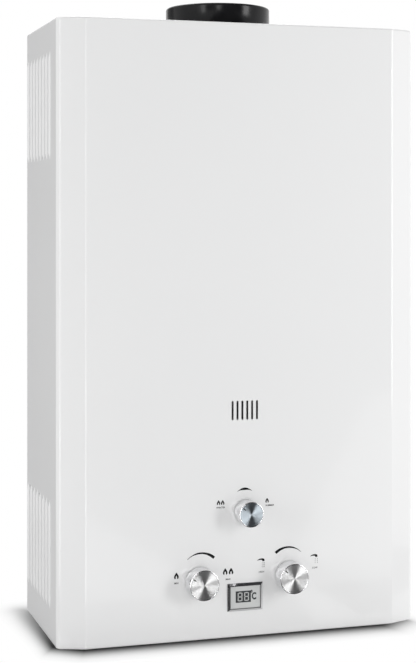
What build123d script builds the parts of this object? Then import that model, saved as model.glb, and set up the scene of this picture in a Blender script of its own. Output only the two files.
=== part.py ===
"""Wall-hung gas water heater with a round flue, built as an assembly of separate pieces.

Frame: +Z up, +X to the right and the front panel facing -Y, in millimetres. The origin lies on
the floor plane under the middle of the whole heater.
"""

from build123d import *
import os

os.makedirs("parts", exist_ok=True)

# ---------------------------------------------------------------- casing
casing_width = 380
casing_height = 620
casing_depth = 165
knob_reach = 18  # the knob faces stand this far in front of the panel
sheet = 0.8
strip_width = 27  # bevelled strip between the front panel and each side
strip_step = 10  # how far the strip falls back over its width
corner_radius = 6
fold_radius = 5
rim_radius = 2
top_flange = 14
base_flange = 12
seat_gap = 0.3  # side clearance between sheets that slide over each other
back_flange = 12
skirt = 28  # the casing hangs this far below the bottom panel

# ---------------------------------------------------------------- louvres on both sides
louvre_count = 8
louvre_pitch = 16.2
louvre_first = 42  # from the front plane to the foot of the first louvre
louvre_length = 109
upper_louvres_drop = 84.5  # from the casing top to the middle of the upper group
lower_louvres_z = 86.5
louvre_rise = 1.15
louvre_ramp = 2.4
louvre_lip = 0.8
louvre_mouth = 4
louvre_end = 2.5
louvre_taper = 7  # length of the sloping ends
louvre_skin = 0.6

# ---------------------------------------------------------------- front panel layout
controls_x = 1.0
knob_spread = 95  # between the gas and the water knob
low_knob_z = 58.6
season_x = 2.6
season_z = 126
knob_radius = 15.25
season_radius = 12.8
knob_clearance = 0.5
knob_wall = 1.5
knob_face = 3
knob_hub_radius = 5.5
knob_edge = 0.8
spindle_radius = 3
spindle_fit = 0.05
panel_hole_radius = 4.5
view_slot_count = 6
view_slot_pitch = 5.2
view_slot_width = 2.2
view_slot_height = 19.4
view_slot_x = 1.3
view_slot_z = 228.6

# ---------------------------------------------------------------- temperature display
display_x = 1.3
display_z = 40.3
display_width = 37.4
display_height = 28
display_rise = 3
display_slope = 2.4  # width of the bevel around the frame
display_recess = 1
display_sleeve_wall = 1.2
display_sleeve_inset = 1.4
display_depth = 6
display_board_margin = 1.5
display_board_depth = 4
display_notch_margin = 4

# ---------------------------------------------------------------- top, flue and hood
flue_back = 87  # flue axis behind the front plane
flue_radius = 55
flue_wall = 1
flue_rise = 24.5  # above the casing
flue_roll = 2.5
flue_flange = 12
hood_wall = 0.8
hood_neck_gap = 0.5
hood_neck_rise = 14  # the neck ends this far above the casing top
hood_neck_drop = 35
hood_skirt = 30
screw_radius = 1.9
screw_head_radius = 3.6
screw_head_height = 2
screw_length = 8
screw_play = 0.3
screw_recess_width = 0.9
screw_recess_depth = 1
flue_screw_count = 4
cover_screw_front = 44  # behind the front plane
cover_screw_back = 124
ear_width = 20
ear_reach = 16
ear_back = 60

# ---------------------------------------------------------------- fixing holes in the back plate
wall_hole_spread = 300
wall_hole_low = 45
wall_hole_drop = 25  # from the casing top to the upper holes
wall_hole_radius = 3.5
low_rib_z = 195
high_rib_drop = 150
rib_length = 280
rib_width = 12
rib_depth = 3
relief_slot_count = 7
relief_slot_pitch = 26
relief_slot_width = 6
relief_slot_height = 34
relief_slot_drop = 72

# ---------------------------------------------------------------- heat exchanger
duct_width = 216
duct_depth = 112
duct_wall = 1
chamber_corner = 10
chamber_bottom = 250
exchanger_bottom = 400
exchanger_corner = 2
exchanger_top = 470
tube_radius = 7.5
tube_wall = 0.8
tube_gap = 1
tube_fit = 0.1
tube_row_pitch = 21
tube_row_count = 5
tube_row_z = 425
tube_overhang = 6
fin_count = 34
fin_pitch = 6
fin_thickness = 0.5
fin_height = 64
fin_side_gap = 0.3
coil_low_z = 290
coil_high_z = 345
coil_bend = 15
return_bend = 11
coil_rear_inset = 26  # the second turn leaves the back run this far from the corner
loop_reach = 26  # how far outside the exchanger the pipes turn

# ---------------------------------------------------------------- burner
burner_bottom = 186
burner_inset = 4
burner_sheet = 1
burner_flange = 4.5
burner_lip = 8
blade_count = 13
blade_pitch = 15
blade_width = 9
blade_skin = 0.8
blade_end_gap = 0.5
blade_top = 246
port_count = 12
port_pitch = 7.6
port_width = 1.2
nozzle_z = 201
venturi_radius = 4
window_width = 34
window_height = 24
manifold_size = 16
manifold_wall = 1.5
manifold_y_gap = 6
manifold_overhang = 6
nozzle_radius = 3
nozzle_bore = 0.7
nozzle_grip = 0.3
bracket_spread = 100
bracket_width = 20
bracket_drop = 34
bracket_sheet = 1.2

# ---------------------------------------------------------------- electrodes
electrode_z = 262
electrode_spread = 30
ceramic_radius = 4
ceramic_back = 8
ceramic_front = 16
ceramic_flange_radius = 6
ceramic_flange = 2
electrode_wire = 1
electrode_reach = 22
electrode_hook = 6
electrode_fit = 0.1
electrode_plate_width = 60
electrode_plate_height = 16
electrode_plate_sheet = 1.2

# ---------------------------------------------------------------- valves
valve_back = 50  # common valve axis behind the front plane
boss_back = 16  # front face of the spindle bosses
boss_radius = 11
boss_thread_radius = 9
boss_thread_length = 7
plug_radius = 6.5
plug_length = 15
plug_chamber = 17
nut_across = 22
nut_front = 2
nut_fit = 0.05
gas_body_radius = 19
gas_body_left = 36
gas_body_right = 34
gas_bore = 13
gas_seat_offset = 8  # seat to the right of the gas inlet
gas_seat_thickness = 4
gas_seat_hole = 8
gas_end_wall = 4
gas_disc_radius = 11
gas_disc_thickness = 5
gas_outlet_offset = 21
gas_cap_radius = 17
gas_cap_thickness = 4
gas_spring_wire = 0.8
gas_spring_radius = 8
spring_turns = 5
spring_gap = 0.4
port_boss_radius = 10
port_bore = 6
gas_port_top = 86
riser_radius = 8
riser_flange = 2
season_body_radius = 14
season_body_half = 42
season_bore = 8
season_port_bottom = 106
season_port_top = 148
season_right_port = 30
rod_radius = 2.5
rod_fit = 0.06
collar_radius = 5
collar_length = 4.7
collar_left = -2
contact_gap = 0.1
diaphragm_radius = 29
diaphragm_thickness = 1.5
diaphragm_x = 22.5
chamber_radius = 22.5
chamber_left_depth = 7.5
chamber_right_depth = 5
cover_plate = 3
gland_radius = 6
gland_length = 6
plate_radius = 19
plate_thickness = 2.8
plate_gap = 0.2
water_body_radius = 16
water_body_right = 68
water_bore = 9
water_bore_end = 60
water_flange = 6
inlet_boss_radius = 13
inlet_bore = 7
inlet_boss_bottom = 36
water_rear_reach = 31
clamp_screw_count = 6
clamp_screw_ring = 25.5
clamp_screw_radius = 1.5
clamp_screw_head = 2.8

# ---------------------------------------------------------------- threaded fittings in the skirt
thread_radius = 10.48
fitting_across = 24
fitting_neck_radius = 9.8
thread_length = 18
fitting_bottom = 7
drain_hole_gap = 2
hot_x = -120
hot_top = 44

# ---------------------------------------------------------------- solenoid and microswitch
solenoid_x = -68
solenoid_radius = 12
solenoid_height = 34
solenoid_wall = 4
plunger_radius = 4
plunger_fit = 0.1
plunger_head_radius = 6.5
plunger_head_height = 3
plunger_length = 20
solenoid_spring_radius = 2.6
solenoid_spring_wire = 0.4
switch_length = 20
switch_bottom = 71
switch_height = 16
ear_sheet = 1.5
pivot_radius = 1
pivot_fit = 0.05
lever_gap = 0.3
lever_sheet = 0.6
lever_width = 10
lever_bottom = 56
lever_fork = 6
lever_fork_top = 63
lever_pivot_z = 68.5

# ---------------------------------------------------------------- relief and drain valve
relief_x = 78
relief_radius = 7
relief_top = 66
relief_bottom = 12
relief_bore = 3
relief_neck_radius = 6
relief_lever_z = 19
relief_lever_length = 18
relief_lever_width = 8
relief_lever_sheet = 2
relief_pin_radius = 1.5
relief_pin_root = 1  # how deep the pin stands in the valve

# ---------------------------------------------------------------- igniter and battery
igniter_x = 40
igniter_width = 100
igniter_depth = 28
igniter_bottom = 100
igniter_height = 70
igniter_edge = 3
cell_radius = 16.6
cell_length = 61
cell_gap = 1.5
cell_contact_gap = 2
battery_wall = 1.8
battery_place = 22 / 67  # of the spare room between the relief valve and the casing side
battery_back = 16
contact_width = 10
door_thickness = 2
door_margin = 2
door_gap = 0.4
door_pin_radius = 1.2
door_barrel_radius = 2.6
door_barrel_length = 12
hinge_lug = 3
thermostat_radius = 8
thermostat_thickness = 6
thermostat_z = 454

# ---------------------------------------------------------------- worked out from the sizes above
wall_y = (casing_depth + knob_reach) / 2
front_y = wall_y - casing_depth
strip_y = front_y + strip_step
half_width = casing_width / 2
panel_half = half_width - strip_width
inner_half = half_width - sheet
back_inner_y = wall_y - sheet
gas_x = controls_x - knob_spread / 2
water_x = controls_x + knob_spread / 2
knob_face_y = front_y - knob_reach
valve_y = front_y + valve_back
boss_y = front_y + boss_back
flue_y = front_y + flue_back
casing_top = casing_height
plate_top = casing_height - sheet
upper_louvres_z = casing_height - upper_louvres_drop
wall_hole_rise = casing_height - wall_hole_drop - wall_hole_low
hood_neck_top = casing_height + hood_neck_rise
hood_neck_z = casing_height - hood_neck_drop
hood_shoulder_z = exchanger_top + hood_skirt
relief_slot_z = casing_height - relief_slot_drop
battery_depth = 2 * (cell_radius + battery_wall)
battery_width = 4 * cell_radius + cell_gap + 2 * battery_wall
relief_right = relief_x + relief_radius
battery_room = half_width - relief_right - battery_width
battery_left = relief_right + battery_place * battery_room
battery_right = battery_left + battery_width
box_bottom = skirt + sheet
back_half = half_width - rim_radius - seat_gap
flue_top = casing_height + flue_rise
duct_half_x = duct_width / 2
duct_half_y = duct_depth / 2
duct_front = flue_y - duct_half_y
duct_back = flue_y + duct_half_y
pipe_bore = tube_radius - tube_wall
seat_x = gas_x + gas_seat_offset
gas_port_x = gas_x + gas_outlet_offset
gas_right_x = gas_x + gas_body_right


def facing_front(x, y, z):
    """A plane that looks at the viewer: its own axes are X and Z, and it extrudes forwards."""
    return Plane(origin=(x, y, z), x_dir=(1, 0, 0), z_dir=(0, -1, 0))


def facing_back(x, y, z):
    return Plane(origin=(x, y, z), x_dir=(1, 0, 0), z_dir=(0, 1, 0))


def facing_right(x, y, z):
    return Plane(origin=(x, y, z), x_dir=(0, 1, 0), z_dir=(1, 0, 0))


def facing_down(x, y, z):
    return Plane(origin=(x, y, z), x_dir=(1, 0, 0), z_dir=(0, 0, -1))


def facing_up(x, y, z):
    return Plane(origin=(x, y, z))


def bar(plane, radius, length, mode=Mode.ADD):
    """A round bar that starts on the plane and runs along its normal."""
    with BuildSketch(plane) as section:
        Circle(radius)
    extrude(section.sketch, amount=length, mode=mode)


def hex_bar(plane, across, length, mode=Mode.ADD):
    """A hexagonal bar, sized across its flats."""
    with BuildSketch(plane) as section:
        RegularPolygon(across / 2, 6, major_radius=False, rotation=30)
    extrude(section.sketch, amount=length, mode=mode)


def block(x_range, y_range, z_range, mode=Mode.ADD):
    """A rectangular block between two values on each axis."""
    width = x_range[1] - x_range[0]
    depth = y_range[1] - y_range[0]
    middle = (x_range[0] + width / 2, y_range[0] + depth / 2)
    with BuildSketch(Plane.XY.offset(z_range[0])) as section:
        with Locations(middle):
            Rectangle(width, depth)
    extrude(section.sketch, amount=z_range[1] - z_range[0], mode=mode)


def pipe_along(points, radii, outer, inner):
    """A bent pipe: straight runs joined by tangent arcs, hollow when inner is above 0."""
    with BuildPart() as piece:
        with BuildLine() as route:
            FilletPolyline(*points, radius=radii)
        with BuildSketch(Plane(origin=route.line @ 0, z_dir=route.line % 0)):
            Circle(outer)
            if inner > 0:
                Circle(inner, mode=Mode.SUBTRACT)
        sweep(path=route.line)
    return piece


def save(piece, name):
    """Label a finished piece and write it."""
    piece.part.label = name
    export_step(piece.part, f"parts/{name}.step")


def casing_outline(inset):
    """The casing seen from above, open towards the wall, drawn inset inside its outer faces."""
    slope = (strip_step**2 + strip_width**2) ** 0.5
    strip_drop = inset * (slope - strip_step) / strip_width
    fold_drop = inset * (slope - strip_width) / strip_step
    side = half_width - inset
    with BuildSketch() as outline:
        with BuildLine():
            Polyline(
                (-side, wall_y),
                (-side, strip_y + strip_drop),
                (-panel_half + fold_drop, front_y + inset),
                (panel_half - fold_drop, front_y + inset),
                (side, strip_y + strip_drop),
                (side, wall_y),
                close=True,
            )
        make_face()
        side_corners = outline.vertices().filter_by_position(Axis.Y, strip_y, wall_y - 1)
        fillet(side_corners, corner_radius - inset)
        folds = outline.vertices().filter_by_position(Axis.Y, front_y, front_y + inset + 0.01)
        fillet(folds, fold_radius - inset)
    return outline.sketch


# ---------------------------------------------------------------- front cover
def louvre(side, foot_y, low_z, skin):
    """One louvre: a ramp that rises backwards to a lip, with sloping ends, or the space under it."""
    root = side * (half_width - sheet / 2 - skin)
    face = side * half_width
    crest = side * (half_width + louvre_rise - skin)
    ramp_y = foot_y + (sheet if skin else 0)
    lip_y = foot_y + louvre_ramp + louvre_lip
    back_y = lip_y + (louvre_mouth if skin else 0)
    bottom = low_z + (louvre_end if skin else 0)
    top = low_z + louvre_length - (louvre_end if skin else 0)
    with BuildPart() as piece:
        with BuildSketch(Plane.XY.offset(bottom)):
            with BuildLine():
                Polyline(
                    (root, ramp_y),
                    (face, ramp_y),
                    (crest, foot_y + louvre_ramp + skin / 2),
                    (crest, back_y),
                    (root, back_y),
                    close=True,
                )
            make_face()
        extrude(amount=top - bottom)
        with BuildSketch(facing_front(0, back_y + sheet, 0)):
            with BuildLine():
                Polyline(
                    (root, bottom),
                    (face, bottom),
                    (crest, bottom + louvre_taper),
                    (crest, top - louvre_taper),
                    (face, top),
                    (root, top),
                    close=True,
                )
            make_face()
        extrude(amount=back_y - foot_y + 2 * sheet, mode=Mode.INTERSECT)
    return piece.part


with BuildPart() as front_cover:
    extrude(casing_outline(0), amount=casing_height)
    rims = front_cover.edges().filter_by(Plane.XY)
    rims = rims.filter_by_position(Axis.Y, front_y - 1, wall_y - 1)
    fillet(rims, rim_radius)
    back_face = front_cover.faces().sort_by(Axis.Y)[-1]
    offset(amount=-sheet, openings=back_face)
    top_opening_x = (-half_width + top_flange, half_width - top_flange)
    block(
        top_opening_x,
        (front_y + top_flange, wall_y),
        (casing_height - 2 * sheet, casing_height),
        Mode.SUBTRACT,
    )
    base_opening_x = (-half_width + base_flange, half_width - base_flange)
    block(
        base_opening_x,
        (front_y + base_flange, wall_y),
        (0, 2 * sheet),
        Mode.SUBTRACT,
    )
    plate_slot = (-back_half - seat_gap, back_half + seat_gap)
    block(
        plate_slot,
        (wall_y - back_flange - seat_gap, wall_y),
        (0, rim_radius + sheet),
        Mode.SUBTRACT,
    )
    block(
        plate_slot,
        (back_inner_y - seat_gap, wall_y),
        (casing_height - rim_radius - sheet, casing_height),
        Mode.SUBTRACT,
    )
    for side in (-1, 1):
        for group_z in (upper_louvres_z, lower_louvres_z):
            low_z = group_z - louvre_length / 2
            for index in range(louvre_count):
                foot_y = front_y + louvre_first + index * louvre_pitch
                add(louvre(side, foot_y, low_z, 0))
                add(louvre(side, foot_y, low_z, louvre_skin), mode=Mode.SUBTRACT)
    ear_y = front_y + ear_back
    for side in (-1, 1):
        ear_x = sorted((side * (inner_half + sheet / 2), side * (inner_half - ear_reach)))
        block(ear_x, (ear_y - ear_width / 2, ear_y + ear_width / 2), (skirt - sheet, skirt))
        bar(
            facing_up(side * (inner_half - ear_reach / 2), ear_y, skirt - 2 * sheet),
            screw_radius + screw_play,
            3 * sheet,
            Mode.SUBTRACT,
        )
        for screw_back in (cover_screw_front, cover_screw_back):
            bar(
                facing_up(
                    side * (half_width - top_flange / 2),
                    front_y + screw_back,
                    casing_height - 2 * sheet,
                ),
                screw_radius + screw_play,
                3 * sheet,
                Mode.SUBTRACT,
            )
    panel = facing_front(0, front_y + 2 * sheet, 0)
    with BuildSketch(panel):
        with Locations((gas_x, low_knob_z), (water_x, low_knob_z), (season_x, season_z)):
            Circle(panel_hole_radius)
        with Locations((display_x, display_z)):
            Rectangle(
                display_width - 2 * display_sleeve_inset + 2 * seat_gap,
                display_height - 2 * display_sleeve_inset + 2 * seat_gap,
            )
        with Locations((view_slot_x, view_slot_z)):
            with GridLocations(view_slot_pitch, 0, view_slot_count, 1):
                SlotOverall(view_slot_height, view_slot_width, rotation=90)
    extrude(amount=3 * sheet, mode=Mode.SUBTRACT)
save(front_cover, "front_cover")

# ---------------------------------------------------------------- back plate
with BuildPart() as back_plate:
    block((-back_half, back_half), (back_inner_y, wall_y), (0, casing_height))
    for side in (-1, 1):
        flange_x = sorted((side * back_half, side * (back_half - sheet)))
        block(flange_x, (wall_y - back_flange, wall_y), (0, plate_top - 2 * sheet))
    block((-back_half, back_half), (wall_y - back_flange, wall_y), (0, sheet))
    with BuildSketch(facing_front(0, wall_y + sheet, wall_hole_low + wall_hole_rise / 2)):
        with GridLocations(wall_hole_spread, wall_hole_rise, 2, 2):
            Circle(wall_hole_radius)
    extrude(amount=3 * sheet, mode=Mode.SUBTRACT)
    for rib_z in (low_rib_z, casing_height - high_rib_drop):
        with BuildSketch(facing_front(0, wall_y, rib_z)):
            SlotOverall(rib_length, rib_width)
        extrude(amount=rib_depth + sheet)
        with BuildSketch(facing_front(0, wall_y, rib_z)):
            SlotOverall(rib_length - 2 * sheet, rib_width - 2 * sheet)
        extrude(amount=rib_depth, mode=Mode.SUBTRACT)
    with BuildSketch(facing_front(0, wall_y + sheet, relief_slot_z)):
        with GridLocations(relief_slot_pitch, 0, relief_slot_count, 1):
            SlotOverall(relief_slot_height, relief_slot_width, rotation=90)
    extrude(amount=3 * sheet, mode=Mode.SUBTRACT)
save(back_plate, "back_plate")

# ---------------------------------------------------------------- top and bottom panels
top_bottom_z = plate_top - sheet
with BuildPart() as top_panel:
    extrude(Pos(0, 0, top_bottom_z) * casing_outline(rim_radius + seat_gap), amount=sheet)
    block(
        (-half_width, half_width),
        (back_inner_y, wall_y),
        (top_bottom_z, plate_top),
        Mode.SUBTRACT,
    )
    block(
        (-back_half + back_flange, back_half - back_flange),
        (back_inner_y - sheet, back_inner_y),
        (top_bottom_z - back_flange, plate_top),
    )
    bar(
        facing_up(0, flue_y, top_bottom_z - sheet),
        flue_radius - flue_wall + hood_neck_gap,
        3 * sheet,
        Mode.SUBTRACT,
    )
    flue_screw_ring = flue_radius + flue_flange / 2
    with BuildSketch(Plane.XY.offset(top_bottom_z - sheet)):
        with Locations((0, flue_y)):
            with PolarLocations(flue_screw_ring, flue_screw_count, start_angle=45):
                Circle(screw_radius + screw_play)
        for side in (-1, 1):
            for screw_back in (cover_screw_front, cover_screw_back):
                with Locations((side * (half_width - top_flange / 2), front_y + screw_back)):
                    Circle(screw_radius + screw_play)
    extrude(amount=3 * sheet, mode=Mode.SUBTRACT)
save(top_panel, "top_panel")

battery_front_y = front_y + battery_back
battery_back_y = battery_front_y + battery_depth
battery_range_x = (battery_left, battery_right)
battery_range_y = (battery_front_y, battery_back_y)
battery_x = (battery_left + battery_right) / 2
battery_y = (battery_front_y + battery_back_y) / 2
door_top = skirt - door_gap
door_bottom = door_top - door_thickness
hinge_y = battery_back_y + door_margin + door_barrel_radius
hinge_z = skirt - door_barrel_radius - door_gap
strap_x = (battery_x - door_barrel_length / 2, battery_x + door_barrel_length / 2)
with BuildPart() as bottom_panel:
    extrude(Pos(0, 0, skirt) * casing_outline(sheet + seat_gap), amount=sheet)
    block(
        (-half_width, half_width),
        (wall_y - back_flange - seat_gap, wall_y),
        (skirt, skirt + sheet),
        Mode.SUBTRACT,
    )
    block(
        (-back_half + back_flange, back_half - back_flange),
        (wall_y - back_flange - sheet, back_inner_y),
        (skirt, skirt + sheet),
    )
    block(
        (-back_half + back_flange, back_half - back_flange),
        (back_inner_y - sheet, back_inner_y),
        (skirt, skirt + back_flange),
    )
    with BuildSketch(Plane.XY.offset(skirt - sheet)):
        with Locations((gas_x, valve_y), (water_x, valve_y), (hot_x, valve_y)):
            Circle(thread_radius + seat_gap)
        with Locations((relief_x, valve_y)):
            Circle(relief_radius + drain_hole_gap)
        for side in (-1, 1):
            with Locations((side * (inner_half - ear_reach / 2), ear_y)):
                Circle(screw_radius + screw_play)
    extrude(amount=3 * sheet, mode=Mode.SUBTRACT)
    notch_half = display_width / 2 + display_notch_margin
    block(
        (display_x - notch_half, display_x + notch_half),
        (front_y, front_y + display_depth + display_board_depth + display_notch_margin),
        (skirt - sheet, skirt + 2 * sheet),
        Mode.SUBTRACT,
    )
    block(
        (battery_left + battery_wall, battery_right - battery_wall),
        (battery_front_y + battery_wall, battery_back_y - battery_wall),
        (skirt - sheet, skirt + 2 * sheet),
        Mode.SUBTRACT,
    )
    for side in (-1, 1):
        lug_start = battery_x + side * (door_barrel_length / 2 + seat_gap)
        lug_x = sorted((lug_start, lug_start + side * hinge_lug))
        bar(facing_right(lug_x[0], hinge_y, hinge_z), door_barrel_radius, hinge_lug)
        block(
            lug_x,
            (hinge_y - door_barrel_radius, hinge_y + door_barrel_radius),
            (hinge_z, skirt),
        )
    bar(
        facing_right(strap_x[0] - seat_gap, hinge_y, hinge_z),
        door_pin_radius,
        door_barrel_length + 2 * seat_gap,
    )
save(bottom_panel, "bottom_panel")


# ---------------------------------------------------------------- screws
def screw(plane, depth):
    """A pan-head screw whose head stands on the plane, with a cross recess."""
    bar(plane, screw_head_radius, screw_head_height)
    bar(plane, screw_radius, -depth)
    tip = plane.offset(screw_head_height - screw_recess_depth)
    with BuildSketch(tip) as recess:
        Rectangle(screw_head_radius, screw_recess_width)
        Rectangle(screw_recess_width, screw_head_radius)
    extrude(recess.sketch, amount=screw_recess_depth, mode=Mode.SUBTRACT)


with BuildPart() as panel_screws:
    for side in (-1, 1):
        for screw_back in (cover_screw_front, cover_screw_back):
            screw_x = side * (half_width - top_flange / 2)
            screw(facing_up(screw_x, front_y + screw_back, casing_top), screw_length)
        ear_x = side * (inner_half - ear_reach / 2)
        screw(facing_down(ear_x, ear_y, skirt - sheet), screw_length)
    flue_screws = PolarLocations(flue_screw_ring, flue_screw_count, start_angle=45)
    for spot in flue_screws.locations:
        place = spot.position
        screw(facing_up(place.X, place.Y + flue_y, casing_top), screw_length)
save(panel_screws, "panel_screws")

# ---------------------------------------------------------------- flue collar
with BuildPart() as flue_collar:
    bar(facing_up(0, flue_y, plate_top), flue_radius + flue_flange, sheet)
    bar(facing_up(0, flue_y, plate_top), flue_radius, flue_top - flue_roll - plate_top)
    bar(
        facing_up(0, flue_y, plate_top - sheet),
        flue_radius - flue_wall,
        flue_top - plate_top + 2 * sheet,
        Mode.SUBTRACT,
    )
    with BuildSketch(Plane.XY.offset(plate_top - sheet)):
        with Locations((0, flue_y)):
            with PolarLocations(flue_screw_ring, flue_screw_count, start_angle=45):
                Circle(screw_radius + screw_play)
    extrude(amount=3 * sheet, mode=Mode.SUBTRACT)
    roll_plane = facing_front(0, flue_y, flue_top - flue_roll)
    with BuildSketch(roll_plane):
        with Locations((flue_radius - flue_roll, 0)):
            Circle(flue_roll)
    revolve(axis=Axis((0, flue_y, 0), (0, 0, 1)))
save(flue_collar, "flue_collar")


# ---------------------------------------------------------------- ducts, hood and burner frame
def duct(bottom, top, corner):
    """A straight duct around the flue axis, with rounded upright corners."""
    inner_width = duct_width - 2 * duct_wall
    inner_depth = duct_depth - 2 * duct_wall
    with BuildSketch(Plane.XY.offset(bottom)) as section:
        with Locations((0, flue_y)):
            RectangleRounded(duct_width, duct_depth, corner)
            RectangleRounded(inner_width, inner_depth, corner - duct_wall, mode=Mode.SUBTRACT)
    extrude(section.sketch, amount=top - bottom)


def hood_solid(inset):
    """The outer or inner shape of the hood: box, taper and round neck."""
    neck = flue_radius - flue_wall - hood_neck_gap
    with BuildPart() as shape:
        with BuildSketch(Plane.XY.offset(exchanger_top)):
            with Locations((0, flue_y)):
                Rectangle(duct_width - 2 * inset, duct_depth - 2 * inset)
        extrude(amount=hood_shoulder_z - exchanger_top)
        with BuildSketch(Plane.XY.offset(hood_shoulder_z)):
            with Locations((0, flue_y)):
                Rectangle(duct_width - 2 * inset, duct_depth - 2 * inset)
        with BuildSketch(Plane.XY.offset(hood_neck_z)):
            with Locations((0, flue_y)):
                Circle(neck - inset)
        loft()
        with BuildSketch(Plane.XY.offset(hood_neck_z)):
            with Locations((0, flue_y)):
                Circle(neck - inset)
        extrude(amount=hood_neck_top - hood_neck_z)
    return shape.part


with BuildPart() as flue_hood:
    add(hood_solid(0))
    add(hood_solid(hood_wall), mode=Mode.SUBTRACT)
save(flue_hood, "flue_hood")

with BuildPart() as combustion_chamber:
    duct(chamber_bottom, exchanger_bottom, chamber_corner)
    with BuildSketch(facing_front(0, duct_front + 2 * duct_wall, electrode_z)):
        with GridLocations(electrode_spread, 0, 2, 1):
            Circle(ceramic_radius + electrode_fit)
    extrude(amount=3 * duct_wall, mode=Mode.SUBTRACT)
save(combustion_chamber, "combustion_chamber")

tube_rows = []
for index in range(tube_row_count):
    tube_rows.append(flue_y + (index - (tube_row_count - 1) / 2) * tube_row_pitch)

with BuildPart() as exchanger_casing:
    duct(exchanger_bottom, exchanger_top, exchanger_corner)
    with BuildSketch(facing_right(-duct_half_x - duct_wall, flue_y, tube_row_z)):
        with GridLocations(tube_row_pitch, 0, tube_row_count, 1):
            Circle(tube_radius + tube_fit)
    extrude(amount=duct_width + 2 * duct_wall, mode=Mode.SUBTRACT)
save(exchanger_casing, "exchanger_casing")

fin_depth = duct_depth - 2 * duct_wall - 2 * fin_side_gap
fin_z = (exchanger_bottom + exchanger_top) / 2
with BuildPart() as exchanger_fins:
    for index in range(fin_count):
        fin_x = (index - (fin_count - 1) / 2) * fin_pitch - fin_thickness / 2
        with BuildSketch(facing_right(fin_x, flue_y, fin_z)):
            Rectangle(fin_depth, fin_height)
            with Locations((0, tube_row_z - fin_z)):
                with GridLocations(tube_row_pitch, 0, tube_row_count, 1):
                    Circle(tube_radius + tube_fit, mode=Mode.SUBTRACT)
        extrude(amount=fin_thickness)
save(exchanger_fins, "exchanger_fins")

# The tubes run through the fins five times, from the right rear to the left front.
bend_x = duct_half_x + tube_overhang + tube_row_pitch / 2
tube_points = []
for index, row_y in enumerate(reversed(tube_rows)):
    start_side = 1 if index % 2 == 0 else -1
    for side in (start_side, -start_side):
        tube_points.append((side * bend_x, row_y, tube_row_z))
tube_points[0] = (duct_half_x + tube_overhang, tube_rows[-1], tube_row_z)
tube_points[-1] = (-duct_half_x - tube_overhang, tube_rows[0], tube_row_z)
tube_bend = tube_row_pitch / 2 - 0.01
fin_tubes = pipe_along(tube_points, tube_bend, tube_radius, pipe_bore)
save(fin_tubes, "fin_tubes")

# ---------------------------------------------------------------- water pipes
coil_x = duct_half_x + tube_gap + tube_radius
coil_front = duct_front - tube_gap - tube_radius
coil_back = duct_back + tube_gap + tube_radius
coil_start_y = tube_rows[-1]
coil_start_z = coil_low_z - coil_bend - tube_radius
loop_x = duct_half_x + loop_reach
lift_x = coil_x - coil_rear_inset
coil_points = [
    (coil_x, coil_start_y, coil_start_z),
    (coil_x, coil_start_y, coil_low_z),
    (coil_x, coil_front, coil_low_z),
    (-coil_x, coil_front, coil_low_z),
    (-coil_x, coil_back, coil_low_z),
    (coil_x, coil_back, coil_low_z),
    (coil_x, coil_back, coil_high_z),
    (coil_x, coil_front, coil_high_z),
    (-coil_x, coil_front, coil_high_z),
    (-coil_x, coil_back, coil_high_z),
    (lift_x, coil_back, coil_high_z),
    (lift_x, coil_back, tube_row_z),
    (loop_x, coil_back, tube_row_z),
    (loop_x, coil_start_y, tube_row_z),
    (duct_half_x + tube_overhang, coil_start_y, tube_row_z),
]
coil_radii = [coil_bend] * 11 + [return_bend] * 2
shell_coil = pipe_along(coil_points, coil_radii, tube_radius, pipe_bore)
save(shell_coil, "shell_coil")

inlet_points = [
    (water_x, valve_y + water_rear_reach, low_knob_z),
    (water_x, coil_start_y, low_knob_z),
    (coil_x, coil_start_y, low_knob_z),
    (coil_x, coil_start_y, coil_start_z),
]
inlet_pipe = pipe_along(inlet_points, coil_bend, tube_radius, pipe_bore)
save(inlet_pipe, "inlet_pipe")

outlet_points = [
    (-duct_half_x - tube_overhang, tube_rows[0], tube_row_z),
    (-loop_x, tube_rows[0], tube_row_z),
    (-loop_x, tube_rows[0], tube_row_z - 3 * coil_bend),
    (-loop_x, valve_y, tube_row_z - 5 * coil_bend),
    (-loop_x, valve_y, burner_bottom),
    (hot_x, valve_y, burner_bottom - 2 * coil_bend),
    (hot_x, valve_y, hot_top),
]
outlet_radii = [return_bend, coil_bend, coil_bend, coil_bend, coil_bend]
outlet_pipe = pipe_along(outlet_points, outlet_radii, tube_radius, pipe_bore)
save(outlet_pipe, "outlet_pipe")

# ---------------------------------------------------------------- burner
frame_half_x = duct_half_x - burner_inset
frame_half_y = duct_half_y - burner_inset / 2
frame_front = flue_y - frame_half_y
frame_back = flue_y + frame_half_y
with BuildPart() as burner_frame:
    block(
        (-frame_half_x, frame_half_x),
        (frame_front, frame_back),
        (burner_bottom, chamber_bottom),
    )
    block(
        (-frame_half_x + burner_sheet, frame_half_x - burner_sheet),
        (frame_front + burner_sheet, frame_back - burner_sheet),
        (burner_bottom + burner_sheet, chamber_bottom),
        Mode.SUBTRACT,
    )
    block(
        (-frame_half_x + burner_lip, frame_half_x - burner_lip),
        (frame_front + burner_lip, frame_back - burner_lip),
        (burner_bottom, burner_bottom + burner_sheet),
        Mode.SUBTRACT,
    )
    with BuildSketch(Plane.XY.offset(chamber_bottom - burner_sheet)):
        with Locations((0, flue_y)):
            Rectangle(2 * (frame_half_x + burner_flange), 2 * (frame_half_y + burner_flange))
            Rectangle(
                2 * (frame_half_x - burner_sheet),
                2 * (frame_half_y - burner_sheet),
                mode=Mode.SUBTRACT,
            )
    extrude(amount=burner_sheet)
    with BuildSketch(facing_front(0, frame_front + 2 * burner_sheet, 0)):
        with Locations((0, nozzle_z)):
            with GridLocations(blade_pitch, 0, blade_count, 1):
                Circle(venturi_radius)
        with Locations((view_slot_x, view_slot_z)):
            Rectangle(window_width, window_height)
    extrude(amount=3 * burner_sheet, mode=Mode.SUBTRACT)
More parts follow.
